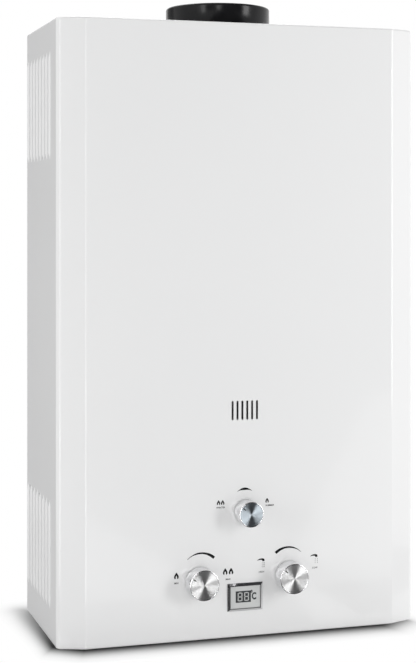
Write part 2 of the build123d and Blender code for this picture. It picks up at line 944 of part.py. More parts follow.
save(burner_frame, "burner_frame")

blade_front = frame_front + burner_sheet + blade_end_gap
blade_back = frame_back - burner_sheet - blade_end_gap
blade_bottom = burner_bottom + burner_sheet
with BuildPart() as burner_blades:
    for index in range(blade_count):
        blade_x = (index - (blade_count - 1) / 2) * blade_pitch
        block(
            (blade_x - blade_width / 2, blade_x + blade_width / 2),
            (blade_front, blade_back),
            (blade_bottom, blade_top),
        )
        block(
            (blade_x - blade_width / 2 + blade_skin, blade_x + blade_width / 2 - blade_skin),
            (blade_front + blade_skin, blade_back - blade_skin),
            (blade_bottom + blade_skin, blade_top - blade_skin),
            Mode.SUBTRACT,
        )
        bar(
            facing_back(blade_x, blade_front - blade_skin, nozzle_z),
            venturi_radius - blade_skin,
            3 * blade_skin,
            Mode.SUBTRACT,
        )
    with BuildSketch(Plane.XY.offset(blade_top - 2 * blade_skin)):
        with Locations((0, flue_y)):
            with GridLocations(blade_pitch, port_pitch, blade_count, port_count):
                Rectangle(blade_width - 3 * blade_skin, port_width)
    extrude(amount=3 * blade_skin, mode=Mode.SUBTRACT)
save(burner_blades, "burner_blades")

manifold_back = frame_front - manifold_y_gap
manifold_front = manifold_back - manifold_size
manifold_y = (manifold_back + manifold_front) / 2
manifold_bottom = nozzle_z - manifold_size / 2
manifold_top = nozzle_z + manifold_size / 2
manifold_half = (blade_count - 1) / 2 * blade_pitch + manifold_overhang
manifold_ports = (gas_port_x, season_right_port)
with BuildPart() as gas_manifold:
    block(
        (-manifold_half, manifold_half),
        (manifold_front, manifold_back),
        (manifold_bottom, manifold_top),
    )
    for port_x in manifold_ports:
        stub_points = [
            (port_x, valve_y, season_port_top),
            (port_x, valve_y, season_port_top + 2 * riser_radius),
            (port_x, manifold_y, manifold_bottom - riser_radius),
            (port_x, manifold_y, nozzle_z),
        ]
        stub = pipe_along(stub_points, riser_radius, riser_radius, 0)
        add(stub.part)
    for port_x in manifold_ports:
        stub_points = [
            (port_x, valve_y, season_port_top),
            (port_x, valve_y, season_port_top + 2 * riser_radius),
            (port_x, manifold_y, manifold_bottom - riser_radius),
            (port_x, manifold_y, nozzle_z),
        ]
        stub_bore = pipe_along(stub_points, riser_radius, port_bore, 0)
        add(stub_bore.part, mode=Mode.SUBTRACT)
    block(
        (-manifold_half + manifold_wall, manifold_half - manifold_wall),
        (manifold_front + manifold_wall, manifold_back - manifold_wall),
        (manifold_bottom + manifold_wall, manifold_top - manifold_wall),
        Mode.SUBTRACT,
    )
    divider_x = (manifold_ports[0] + manifold_ports[1]) / 2
    block(
        (divider_x, divider_x + manifold_wall),
        (manifold_front, manifold_back),
        (manifold_bottom, manifold_top),
    )
    with BuildSketch(facing_front(0, manifold_back + manifold_wall, nozzle_z)):
        with GridLocations(blade_pitch, 0, blade_count, 1):
            Circle(nozzle_radius - nozzle_grip)
    extrude(amount=3 * manifold_wall, mode=Mode.SUBTRACT)
save(gas_manifold, "gas_manifold")

with BuildPart() as gas_nozzles:
    for index in range(blade_count):
        nozzle_x = (index - (blade_count - 1) / 2) * blade_pitch
        bar(facing_back(nozzle_x, manifold_back, nozzle_z), nozzle_radius, manifold_y_gap)
        bar(
            facing_front(nozzle_x, manifold_back, nozzle_z),
            nozzle_radius - nozzle_grip - tube_fit,
            manifold_wall,
        )
        bar(
            facing_front(nozzle_x, frame_front + nozzle_bore, nozzle_z),
            nozzle_bore,
            2 * manifold_y_gap,
            Mode.SUBTRACT,
        )
save(gas_nozzles, "gas_nozzles")

with BuildPart() as chamber_brackets:
    for side in (-1, 1):
        bracket_x = side * bracket_spread / 2
        span = (bracket_x - bracket_width / 2, bracket_x + bracket_width / 2)
        shelf_top = chamber_bottom - burner_sheet
        block(
            span,
            (back_inner_y - bracket_sheet, back_inner_y),
            (shelf_top - bracket_drop, shelf_top),
        )
        block(
            span,
            (frame_back + seat_gap, back_inner_y),
            (shelf_top - bracket_sheet, shelf_top),
        )
save(chamber_brackets, "chamber_brackets")

# ---------------------------------------------------------------- electrodes
plate_y = duct_front - electrode_plate_sheet
with BuildPart() as electrode_bracket:
    with BuildSketch(facing_front(0, duct_front, electrode_z)):
        Rectangle(electrode_plate_width, electrode_plate_height)
        with GridLocations(electrode_spread, 0, 2, 1):
            Circle(ceramic_radius + electrode_fit, mode=Mode.SUBTRACT)
    extrude(amount=electrode_plate_sheet)
save(electrode_bracket, "electrode_bracket")


def electrode(x, hook):
    """A ceramic sleeve through the bracket, with a wire that ends over the burner."""
    tip_y = duct_front + ceramic_back + electrode_reach
    with BuildPart() as piece:
        bar(
            facing_back(x, duct_front - ceramic_front, electrode_z),
            ceramic_radius,
            ceramic_front + ceramic_back,
        )
        bar(facing_front(x, plate_y, electrode_z), ceramic_flange_radius, ceramic_flange)
        bar(
            facing_back(x, duct_front + ceramic_back, electrode_z),
            electrode_wire,
            electrode_reach,
        )
        if hook > 0:
            bar(facing_down(x, tip_y - electrode_wire, electrode_z), electrode_wire, hook)
    return piece


ignition_electrode = electrode(-electrode_spread / 2, electrode_hook)
save(ignition_electrode, "ignition_electrode")
flame_sensor = electrode(electrode_spread / 2, 0)
save(flame_sensor, "flame_sensor")


# ---------------------------------------------------------------- valve bodies
def spindle_boss(x, z, root_y):
    """The threaded boss that carries a spindle, in front of a valve body."""
    shoulder_y = boss_y + boss_thread_length
    bar(facing_front(x, root_y, z), boss_radius, root_y - shoulder_y)
    bar(facing_front(x, shoulder_y, z), boss_thread_radius, boss_thread_length)


def spindle_chamber(x, z):
    bar(facing_back(x, boss_y, z), plug_radius + spindle_fit, plug_chamber, Mode.SUBTRACT)


def spindle(x, z):
    """A valve spindle: plug in the chamber and a shaft that carries the knob."""
    with BuildPart() as piece:
        plug_y = boss_y + seat_gap
        bar(facing_back(x, plug_y, z), plug_radius, plug_length)
        shaft_start = knob_face_y + knob_face
        bar(facing_back(x, shaft_start, z), spindle_radius, plug_y - shaft_start)
    return piece


with BuildPart() as gas_valve_body:
    left_x = gas_x - gas_body_left
    bar(
        facing_right(left_x, valve_y, low_knob_z),
        gas_body_radius,
        gas_body_left + gas_body_right,
    )
    spindle_boss(gas_x, low_knob_z, valve_y)
    bar(
        facing_down(gas_x, valve_y, low_knob_z),
        inlet_boss_radius,
        low_knob_z - inlet_boss_bottom,
    )
    bar(
        facing_up(gas_port_x, valve_y, low_knob_z),
        port_boss_radius,
        gas_port_top - low_knob_z,
    )
    solenoid_seat = low_knob_z + gas_body_radius + ear_sheet
    bar(
        facing_up(solenoid_x, valve_y, low_knob_z),
        solenoid_radius,
        solenoid_seat - low_knob_z,
    )
    bar(
        facing_right(left_x, valve_y, low_knob_z),
        gas_bore,
        seat_x - left_x,
        Mode.SUBTRACT,
    )
    outlet_chamber_x = seat_x + gas_seat_thickness
    bar(
        facing_right(outlet_chamber_x, valve_y, low_knob_z),
        gas_bore,
        gas_right_x - gas_end_wall - outlet_chamber_x,
        Mode.SUBTRACT,
    )
    bar(
        facing_right(left_x, valve_y, low_knob_z),
        gas_seat_hole,
        outlet_chamber_x - left_x,
        Mode.SUBTRACT,
    )
    bar(
        facing_right(outlet_chamber_x, valve_y, low_knob_z),
        rod_radius + rod_fit,
        gas_right_x - outlet_chamber_x,
        Mode.SUBTRACT,
    )
    bar(
        facing_down(gas_x, valve_y, low_knob_z),
        inlet_bore,
        low_knob_z - inlet_boss_bottom,
        Mode.SUBTRACT,
    )
    bar(
        facing_up(gas_port_x, valve_y, low_knob_z),
        port_bore,
        gas_port_top - low_knob_z,
        Mode.SUBTRACT,
    )
    bar(
        facing_up(solenoid_x, valve_y, low_knob_z),
        plunger_head_radius + plunger_fit,
        solenoid_seat - low_knob_z,
        Mode.SUBTRACT,
    )
    spindle_chamber(gas_x, low_knob_z)
save(gas_valve_body, "gas_valve_body")

with BuildPart() as gas_valve_cap:
    bar(
        facing_right(left_x - gas_cap_thickness, valve_y, low_knob_z),
        gas_cap_radius,
        gas_cap_thickness,
    )
    bar(
        facing_right(left_x, valve_y, low_knob_z),
        gas_bore - tube_fit,
        gas_cap_thickness,
    )
    hex_bar(
        facing_right(left_x - 2 * gas_cap_thickness, valve_y, low_knob_z),
        gas_cap_radius,
        gas_cap_thickness,
    )
save(gas_valve_cap, "gas_valve_cap")

disc_right = seat_x - contact_gap
disc_left = disc_right - gas_disc_thickness
with BuildPart() as gas_valve_disc:
    bar(
        facing_right(disc_left, valve_y, low_knob_z),
        gas_disc_radius,
        gas_disc_thickness,
    )
save(gas_valve_disc, "gas_valve_disc")


def spring(base, direction, length, radius, wire):
    """A coil spring that fills the length from its base, with a wire of the given radius."""
    height = length - 2 * wire
    centre = Vector(*base) + Vector(*direction) * wire
    with BuildPart() as piece:
        with BuildLine() as route:
            Helix(height / spring_turns, height, radius, center=centre, direction=direction)
        with BuildSketch(Plane(origin=route.line @ 0, z_dir=route.line % 0)):
            Circle(wire)
        sweep(path=route.line, is_frenet=True)
    return piece


cap_inner_x = left_x + gas_cap_thickness
gas_return_spring = spring(
    (cap_inner_x + spring_gap, valve_y, low_knob_z),
    (1, 0, 0),
    disc_left - cap_inner_x - 2 * spring_gap,
    gas_spring_radius,
    gas_spring_wire,
)
save(gas_return_spring, "gas_return_spring")

with BuildPart() as season_valve_body:
    season_left = season_x - season_body_half
    bar(
        facing_right(season_left, valve_y, season_z),
        season_body_radius,
        2 * season_body_half,
    )
    spindle_boss(season_x, season_z, valve_y)
    bar(
        facing_down(gas_port_x, valve_y, season_z),
        port_boss_radius,
        season_z - season_port_bottom,
    )
    for port_x in manifold_ports:
        bar(
            facing_up(port_x, valve_y, season_z),
            port_boss_radius,
            season_port_top - season_z,
        )
    bar(
        facing_right(season_left + gas_end_wall, valve_y, season_z),
        season_bore,
        2 * season_body_half - 2 * gas_end_wall,
        Mode.SUBTRACT,
    )
    bar(
        facing_down(gas_port_x, valve_y, season_z),
        port_bore,
        season_z - season_port_bottom,
        Mode.SUBTRACT,
    )
    for port_x in manifold_ports:
        bar(
            facing_up(port_x, valve_y, season_z),
            port_bore,
            season_port_top - season_z,
            Mode.SUBTRACT,
        )
    spindle_chamber(season_x, season_z)
save(season_valve_body, "season_valve_body")

with BuildPart() as gas_riser:
    bar(
        facing_up(gas_port_x, valve_y, gas_port_top),
        riser_radius,
        season_port_bottom - gas_port_top,
    )
    bar(facing_up(gas_port_x, valve_y, gas_port_top), port_boss_radius, riser_flange)
    bar(facing_down(gas_port_x, valve_y, season_port_bottom), port_boss_radius, riser_flange)
    bar(
        facing_up(gas_port_x, valve_y, gas_port_top),
        port_bore,
        season_port_bottom - gas_port_top,
        Mode.SUBTRACT,
    )
save(gas_riser, "gas_riser")

body_chamber_x = diaphragm_x + diaphragm_thickness
flange_right = body_chamber_x + chamber_right_depth + water_flange
with BuildPart() as water_valve_body:
    bar(
        facing_right(body_chamber_x, valve_y, low_knob_z),
        diaphragm_radius,
        flange_right - body_chamber_x,
    )
    bar(
        facing_right(flange_right, valve_y, low_knob_z),
        water_body_radius,
        water_body_right - flange_right,
    )
    spindle_boss(water_x, low_knob_z, valve_y)
    bar(
        facing_down(water_x, valve_y, low_knob_z),
        inlet_boss_radius,
        low_knob_z - inlet_boss_bottom,
    )
    bar(
        facing_back(water_x, valve_y, low_knob_z),
        port_boss_radius,
        water_rear_reach,
    )
    bar(
        facing_right(body_chamber_x, valve_y, low_knob_z),
        chamber_radius,
        chamber_right_depth,
        Mode.SUBTRACT,
    )
    bar(
        facing_right(body_chamber_x, valve_y, low_knob_z),
        water_bore,
        water_bore_end - body_chamber_x,
        Mode.SUBTRACT,
    )
    bar(
        facing_down(water_x, valve_y, low_knob_z),
        inlet_bore,
        low_knob_z - inlet_boss_bottom,
        Mode.SUBTRACT,
    )
    bar(
        facing_back(water_x, valve_y, low_knob_z),
        pipe_bore,
        water_rear_reach,
        Mode.SUBTRACT,
    )
    spindle_chamber(water_x, low_knob_z)
    clamp_plane = facing_right(body_chamber_x, valve_y, low_knob_z)
    with BuildSketch(clamp_plane):
        with PolarLocations(clamp_screw_ring, clamp_screw_count, start_angle=30):
            Circle(clamp_screw_radius + tube_fit)
    extrude(amount=water_flange, mode=Mode.SUBTRACT)
save(water_valve_body, "water_valve_body")

chamber_left_x = diaphragm_x - chamber_left_depth
cover_left_x = chamber_left_x - cover_plate
with BuildPart() as diaphragm_cover:
    bar(
        facing_right(cover_left_x, valve_y, low_knob_z),
        diaphragm_radius,
        diaphragm_x - cover_left_x,
    )
    bar(
        facing_right(cover_left_x - gland_length, valve_y, low_knob_z),
        gland_radius,
        gland_length,
    )
    bar(
        facing_right(chamber_left_x, valve_y, low_knob_z),
        chamber_radius,
        chamber_left_depth,
        Mode.SUBTRACT,
    )
    bar(
        facing_right(cover_left_x - gland_length, valve_y, low_knob_z),
        rod_radius + rod_fit,
        gland_length + cover_plate,
        Mode.SUBTRACT,
    )
    with BuildSketch(facing_right(cover_left_x, valve_y, low_knob_z)):
        with PolarLocations(clamp_screw_ring, clamp_screw_count, start_angle=30):
            Circle(clamp_screw_radius + tube_fit)
    extrude(amount=diaphragm_x - cover_left_x, mode=Mode.SUBTRACT)
save(diaphragm_cover, "diaphragm_cover")

with BuildPart() as diaphragm:
    bar(
        facing_right(diaphragm_x, valve_y, low_knob_z),
        diaphragm_radius,
        diaphragm_thickness,
    )
    with BuildSketch(facing_right(diaphragm_x, valve_y, low_knob_z)):
        with PolarLocations(clamp_screw_ring, clamp_screw_count, start_angle=30):
            Circle(clamp_screw_radius + tube_fit)
    extrude(amount=diaphragm_thickness, mode=Mode.SUBTRACT)
save(diaphragm, "diaphragm")

clamp_spots = PolarLocations(clamp_screw_ring, clamp_screw_count, start_angle=30)
with BuildPart() as diaphragm_screws:
    for spot in clamp_spots.locations:
        place = spot.position
        head = facing_right(cover_left_x, valve_y + place.X, low_knob_z + place.Y)
        bar(head, clamp_screw_head, -screw_head_height)
        bar(head, clamp_screw_radius, body_chamber_x + water_flange - cover_left_x)
save(diaphragm_screws, "diaphragm_screws")

plate_right = diaphragm_x - plate_gap
plate_left = plate_right - plate_thickness
with BuildPart() as diaphragm_plate:
    bar(
        facing_right(plate_left, valve_y, low_knob_z),
        plate_radius,
        plate_thickness,
    )
save(diaphragm_plate, "diaphragm_plate")

with BuildPart() as push_rod:
    bar(facing_right(disc_right, valve_y, low_knob_z), rod_radius, plate_left - disc_right)
    bar(facing_right(collar_left, valve_y, low_knob_z), collar_radius, collar_length)
save(push_rod, "push_rod")

# ---------------------------------------------------------------- spindles, nuts and knobs
control_spots = {
    "gas": (gas_x, low_knob_z, knob_radius),
    "water": (water_x, low_knob_z, knob_radius),
    "season": (season_x, season_z, season_radius),
}


def knob(x, z, radius):
    """A hollow knob with a solid face and a hub that takes the spindle."""
    back_y = front_y - knob_clearance
    depth = back_y - knob_face_y
    with BuildPart() as piece:
        bar(facing_back(x, knob_face_y, z), radius, depth)
        fillet(piece.edges().group_by(Axis.Y)[0], knob_edge)
        with BuildSketch(facing_front(x, back_y, z)) as hollow:
            Circle(radius - knob_wall)
            Circle(knob_hub_radius, mode=Mode.SUBTRACT)
        extrude(hollow.sketch, amount=depth - knob_face, mode=Mode.SUBTRACT)
        bar(
            facing_front(x, back_y, z),
            spindle_radius + spindle_fit,
            depth - knob_face,
            Mode.SUBTRACT,
        )
    return piece


with BuildPart() as spindle_nuts:
    for spot_x, spot_z, spot_radius in control_spots.values():
        nut_y = boss_y - nut_front
        nut_length = boss_thread_length + nut_front - seat_gap
        hex_bar(facing_back(spot_x, nut_y, spot_z), nut_across, nut_length)
        bar(
            facing_back(spot_x, boss_y, spot_z),
            boss_thread_radius + nut_fit,
            nut_length,
            Mode.SUBTRACT,
        )
        bar(
            facing_back(spot_x, nut_y, spot_z),
            spindle_radius + nut_fit,
            nut_front,
            Mode.SUBTRACT,
        )
save(spindle_nuts, "spindle_nuts")

for control, (spot_x, spot_z, spot_radius) in control_spots.items():
    save(knob(spot_x, spot_z, spot_radius), f"{control}_knob")
    save(spindle(spot_x, spot_z), f"{control}_spindle")


# ---------------------------------------------------------------- threaded fittings
def fitting(x, top):
    """A pipe fitting with a hexagon above the bottom panel and a thread below it."""
    with BuildPart() as piece:
        hex_bar(facing_down(x, valve_y, top), fitting_across, top - box_bottom)
        thread_top = fitting_bottom + thread_length
        bar(facing_down(x, valve_y, box_bottom), fitting_neck_radius, box_bottom - thread_top)
        bar(facing_down(x, valve_y, thread_top), thread_radius, thread_length)
        bar(
            facing_down(x, valve_y, top),
            inlet_bore,
            top - fitting_bottom,
            Mode.SUBTRACT,
        )
    return piece


gas_inlet_fitting = fitting(gas_x, inlet_boss_bottom)
save(gas_inlet_fitting, "gas_inlet_fitting")
cold_inlet_fitting = fitting(water_x, inlet_boss_bottom)
save(cold_inlet_fitting, "cold_inlet_fitting")
hot_outlet_fitting = fitting(hot_x, hot_top)
save(hot_outlet_fitting, "hot_outlet_fitting")

# ---------------------------------------------------------------- solenoid
solenoid_top = solenoid_seat + solenoid_height
plunger_bottom = low_knob_z + gas_bore + contact_gap
plunger_head_top = plunger_bottom + plunger_head_height
with BuildPart() as solenoid_body:
    bar(facing_up(solenoid_x, valve_y, solenoid_seat), solenoid_radius, solenoid_height)
    bar(
        facing_up(solenoid_x, valve_y, solenoid_seat),
        plunger_radius + plunger_fit,
        solenoid_height - solenoid_wall,
        Mode.SUBTRACT,
    )
save(solenoid_body, "solenoid_body")

with BuildPart() as solenoid_plunger:
    bar(
        facing_up(solenoid_x, valve_y, plunger_bottom),
        plunger_head_radius,
        plunger_head_height,
    )
    bar(
        facing_up(solenoid_x, valve_y, plunger_head_top),
        plunger_radius,
        plunger_length,
    )
save(solenoid_plunger, "solenoid_plunger")

plunger_top = plunger_head_top + plunger_length
solenoid_spring = spring(
    (solenoid_x, valve_y, plunger_top + spring_gap),
    (0, 0, 1),
    solenoid_top - solenoid_wall - plunger_top - 2 * spring_gap,
    solenoid_spring_radius,
    solenoid_spring_wire,
)
save(solenoid_spring, "solenoid_spring")

# ---------------------------------------------------------------- microswitch
switch_left = gas_right_x
switch_top = switch_bottom + switch_height
lever_x = collar_left + collar_length + lever_gap
ear_half = lever_width / 2 + lever_gap
with BuildPart() as microswitch:
    block(
        (switch_left, switch_left + switch_length),
        (valve_y - ear_half - ear_sheet, valve_y + ear_half + ear_sheet),
        (switch_bottom, switch_top),
    )
    for side in (-1, 1):
        ear_range = sorted((side * ear_half, side * (ear_half + ear_sheet)))
        block(
            (lever_x - 2 * pivot_radius, lever_x + 3 * pivot_radius),
            (valve_y + ear_range[0], valve_y + ear_range[1]),
            (lever_pivot_z - 2 * pivot_radius, switch_bottom),
        )
    bar(
        facing_back(lever_x + lever_sheet / 2, valve_y - switch_length, lever_pivot_z),
        pivot_radius + pivot_fit,
        2 * switch_length,
        Mode.SUBTRACT,
    )
save(microswitch, "microswitch")

with BuildPart() as microswitch_lever:
    block(
        (lever_x, lever_x + lever_sheet),
        (valve_y - lever_width / 2, valve_y + lever_width / 2),
        (lever_bottom, lever_pivot_z),
    )
    block(
        (lever_x, lever_x + lever_sheet),
        (valve_y - lever_fork / 2, valve_y + lever_fork / 2),
        (lever_bottom, lever_fork_top),
        Mode.SUBTRACT,
    )
    pin_half = ear_half + ear_sheet
    bar(
        facing_back(lever_x + lever_sheet / 2, valve_y - pin_half, lever_pivot_z),
        pivot_radius,
        2 * pin_half,
    )
save(microswitch_lever, "microswitch_lever")

# ---------------------------------------------------------------- relief and drain valve
relief_start = water_body_right
with BuildPart() as relief_valve:
    bar(
        facing_right(relief_start, valve_y, low_knob_z),
        relief_neck_radius,
        relief_x - relief_start,
    )
    bar(
        facing_down(relief_x, valve_y, relief_top),
        relief_radius,
        relief_top - relief_bottom,
    )
    bar(
        facing_down(relief_x, valve_y, relief_top - relief_bore),
        relief_bore,
        relief_top - relief_bottom - relief_bore,
        Mode.SUBTRACT,
    )
    bar(
        facing_right(relief_start, valve_y, low_knob_z),
        relief_bore,
        relief_x - relief_start,
        Mode.SUBTRACT,
    )
    bar(
        facing_front(relief_x, valve_y - relief_radius + relief_pin_root, relief_lever_z),
        relief_pin_radius,
        relief_pin_root + relief_lever_sheet + 2 * seat_gap,
    )
save(relief_valve, "relief_valve")

lever_back_y = valve_y - relief_radius - seat_gap
with BuildPart() as relief_lever:
    lever_plane = facing_front(relief_x, lever_back_y, relief_lever_z)
    with BuildSketch(lever_plane):
        with Locations((relief_lever_width / 2 - relief_lever_length / 2, 0)):
            SlotOverall(relief_lever_length, relief_lever_width)
        Circle(relief_pin_radius + pivot_fit, mode=Mode.SUBTRACT)
    extrude(amount=relief_lever_sheet)
save(relief_lever, "relief_lever")

# ---------------------------------------------------------------- igniter box
with BuildPart() as igniter_box:
    block(
        (igniter_x - igniter_width / 2, igniter_x + igniter_width / 2),
        (back_inner_y - igniter_depth, back_inner_y),
        (igniter_bottom, igniter_bottom + igniter_height),
    )
    fillet(igniter_box.edges().filter_by(Axis.Y), igniter_edge)
save(igniter_box, "igniter_box")

# ---------------------------------------------------------------- battery box
cell_bottom = box_bottom + cell_contact_gap
cell_top = cell_bottom + cell_length
box_top = cell_top + cell_contact_gap + battery_wall
cell_offset = cell_radius + cell_gap / 2
with BuildPart() as battery_box:
    block(battery_range_x, battery_range_y, (box_bottom, box_top))
    block(
        (battery_left + battery_wall, battery_right - battery_wall),
        (battery_front_y + battery_wall, battery_back_y - battery_wall),
        (box_bottom, box_top - battery_wall),
        Mode.SUBTRACT,
    )
save(battery_box, "battery_box")

with BuildPart() as battery_cells:
    for side in (-1, 1):
        cell_x = battery_x + side * cell_offset
        bar(facing_up(cell_x, battery_y, cell_bottom), cell_radius - seat_gap, cell_length)
save(battery_cells, "battery_cells")

with BuildPart() as battery_contacts:
    for side in (-1, 1):
        cell_x = battery_x + side * cell_offset
        span_x = (cell_x - contact_width / 2, cell_x + contact_width / 2)
        span_y = (battery_y - contact_width / 2, battery_y + contact_width / 2)
        block(span_x, span_y, (cell_top, cell_top + cell_contact_gap))
save(battery_contacts, "battery_contacts")

with BuildPart() as battery_door:
    block(
        (battery_left - door_margin, battery_right + door_margin),
        (battery_front_y - door_margin, hinge_y - door_barrel_radius - door_gap),
        (door_bottom, door_top),
    )
    block(strap_x, (battery_back_y - door_margin, hinge_y), (door_bottom, door_top))
    hinge_line = facing_right(strap_x[0], hinge_y, hinge_z)
    bar(hinge_line, door_barrel_radius, door_barrel_length)
    bar(hinge_line, door_pin_radius + pivot_fit, door_barrel_length, Mode.SUBTRACT)
save(battery_door, "battery_door")

# ---------------------------------------------------------------- display
sleeve_half_x = display_width / 2 - display_sleeve_inset
sleeve_half_z = display_height / 2 - display_sleeve_inset
with BuildPart() as display_bezel:
    with BuildSketch(facing_front(display_x, front_y, display_z)):
        Rectangle(display_width, display_height)
    extrude(amount=display_rise)
    chamfer(display_bezel.edges().group_by(Axis.Y)[0], display_slope)
    with BuildSketch(facing_back(display_x, front_y, display_z)):
        Rectangle(2 * sleeve_half_x, 2 * sleeve_half_z)
    extrude(amount=display_depth)
    with BuildSketch(facing_front(display_x, front_y + display_depth, display_z)):
        Rectangle(
            2 * (sleeve_half_x - display_sleeve_wall),
            2 * (sleeve_half_z - display_sleeve_wall),
        )
    extrude(amount=display_depth + display_rise, mode=Mode.SUBTRACT)
save(display_bezel, "display_bezel")

glass_half_x = sleeve_half_x - display_sleeve_wall - seat_gap
glass_half_z = sleeve_half_z - display_sleeve_wall - seat_gap
glass_front = front_y - display_rise + display_recess
with BuildPart() as display_screen:
    with BuildSketch(facing_back(display_x, glass_front, display_z)):
        Rectangle(2 * glass_half_x, 2 * glass_half_z)
    extrude(amount=front_y + display_depth - glass_front)
save(display_screen, "display_screen")

board_half_x = display_width / 2 + display_board_margin
board_half_z = display_height / 2 - display_sleeve_inset
with BuildPart() as display_board:
    with BuildSketch(facing_back(display_x, front_y + display_depth, display_z)):
        Rectangle(2 * board_half_x, 2 * board_half_z)
    extrude(amount=display_board_depth)
save(display_board, "display_board")

# ---------------------------------------------------------------- overheat thermostat
with BuildPart() as overheat_thermostat:
    bar(
        facing_right(-duct_half_x - thermostat_thickness, flue_y, thermostat_z),
        thermostat_radius,
        thermostat_thickness,
    )
save(overheat_thermostat, "overheat_thermostat")
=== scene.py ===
from math import atan2, cos, hypot, pi, radians, sin, tan

import bmesh
import bpy
from mathutils import Matrix, Vector


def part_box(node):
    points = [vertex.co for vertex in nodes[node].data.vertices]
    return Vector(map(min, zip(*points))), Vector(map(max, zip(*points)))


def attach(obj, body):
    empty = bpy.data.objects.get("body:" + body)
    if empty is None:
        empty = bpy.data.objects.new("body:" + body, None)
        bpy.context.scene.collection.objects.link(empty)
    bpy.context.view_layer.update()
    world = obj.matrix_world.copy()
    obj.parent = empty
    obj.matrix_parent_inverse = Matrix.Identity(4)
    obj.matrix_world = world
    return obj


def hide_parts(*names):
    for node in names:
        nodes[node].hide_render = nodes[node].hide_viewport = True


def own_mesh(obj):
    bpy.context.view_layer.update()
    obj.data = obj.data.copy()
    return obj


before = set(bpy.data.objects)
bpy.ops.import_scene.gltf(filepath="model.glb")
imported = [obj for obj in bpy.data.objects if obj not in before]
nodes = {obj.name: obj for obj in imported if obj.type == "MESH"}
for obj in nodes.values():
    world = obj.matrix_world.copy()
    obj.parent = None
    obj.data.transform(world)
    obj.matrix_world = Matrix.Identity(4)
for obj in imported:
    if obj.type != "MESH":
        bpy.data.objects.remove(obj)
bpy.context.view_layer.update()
scene = bpy.context.scene

# ------------------------ camera
# The heater stands a little to the right of the lens, which looks level past its front left
# corner from the height of the upper third and is shifted down to take in the floor.


def put_in(name, data):
    """Puts a lens, a light, a mesh or a line of text into the scene."""
    thing = bpy.data.objects.new(name, data)
    scene.collection.objects.link(thing)
    return thing


lens = bpy.data.cameras.new("viewpoint")
lens.lens = 83.1
lens.sensor_width = 36
lens.shift_y = -0.170
camera = put_in("viewpoint", lens)
camera.location = (-0.494, -1.5385, 0.4219)
camera.rotation_euler = (radians(90), 0, radians(-17.3))
scene.camera = camera

# ------------------------ casing cover
# One sheet of 0.8 mm steel, pressed with louvres, folded into front, bevels and sides and
# powder-coated white. Screws at the top rim and two ears in the skirt hold it.
PAINT_WHITE = (0.865, 0.866, 0.868, 1)
WELD_DISTANCE = 1e-6


def start_finish(name, colour, roughness, metallic=0.0):
    """A new material; returns it with its shader and the place that patterns are drawn on."""
    material = bpy.data.materials.new(name)
    material.use_nodes = True
    tree = material.node_tree
    shader = tree.nodes["Principled BSDF"]
    shader.inputs["Base Color"].default_value = colour
    shader.inputs["Roughness"].default_value = roughness
    shader.inputs["Metallic"].default_value = metallic
    place = tree.nodes.new("ShaderNodeTexCoord").outputs["Object"]
    return material, shader, place


def add_noise(place, scale, detail=2.0, stretch=None):
    """Noise on the place, stretched along an axis where a rolled or drawn grain needs it."""
    tree = place.id_data
    if stretch:
        mapping = tree.nodes.new("ShaderNodeMapping")
        mapping.inputs["Scale"].default_value = stretch
        tree.links.new(place, mapping.inputs["Vector"])
        place = mapping.outputs["Vector"]
    noise = tree.nodes.new("ShaderNodeTexNoise")
    noise.inputs["Scale"].default_value = scale
    noise.inputs["Detail"].default_value = detail
    tree.links.new(place, noise.inputs["Vector"])
    return noise.outputs["Fac"]


def spread(value, socket, low, high, start=0.3, stop=0.7):
    """Drives a socket between two values, as a pattern goes from start to stop."""
    tree = socket.id_data
    reach = tree.nodes.new("ShaderNodeMapRange")
    reach.inputs["From Min"].default_value = start
    reach.inputs["From Max"].default_value = stop
    reach.inputs["To Min"].default_value = low
    reach.inputs["To Max"].default_value = high
    tree.links.new(value, reach.inputs["Value"])
    tree.links.new(reach.outputs["Result"], socket)
    return reach


def vary_gloss(shader, value, low, high, start=0.3, stop=0.7):
    """Lets a pattern make the finish smoother and rougher."""
    spread(value, shader.inputs["Roughness"], low, high, start, stop)


def tint(shader, value, *stops):
    """Colours the finish by a pattern; each stop is a position and a colour."""
    tree = shader.id_data
    ramp = tree.nodes.new("ShaderNodeValToRGB")
    points = ramp.color_ramp.elements
    while len(points) < len(stops):
        points.new(0.5)
    for point, (position, colour) in zip(points, stops):
        point.position = position
        point.color = (*colour, 1)
    tree.links.new(value, ramp.inputs["Fac"])
    tree.links.new(ramp.outputs["Color"], shader.inputs["Base Color"])


def add_relief(shader, height, distance):
    """Bump of a real height in metres."""
    tree = shader.id_data
    bump = tree.nodes.new("ShaderNodeBump")
    bump.inputs["Distance"].default_value = distance
    tree.links.new(height, bump.inputs["Height"])
    tree.links.new(bump.outputs["Normal"], shader.inputs["Normal"])


def add_piece(name, mesh, materials, body, replaced=()):
    """Puts a finished mesh in the scene, on its body and with its finish."""
    piece = put_in(name, mesh)
    for material in materials:
        mesh.materials.append(material)
    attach(piece, body)
    if replaced:
        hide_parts(*replaced)
    return piece


def fold_edges(shape, crease):
    """Smooths all faces, and keeps an edge sharp where they turn by more than the crease angle."""
    for face in shape.faces:
        face.smooth = True
    for edge in shape.edges:
        edge.smooth = len(edge.link_faces) == 2 and edge.calc_face_angle() < radians(crease)


def into_mesh(shape, name):
    """Ends the work on a shape and keeps it as a mesh."""
    mesh = bpy.data.meshes.new(name)
    shape.to_mesh(mesh)
    shape.free()
    return mesh


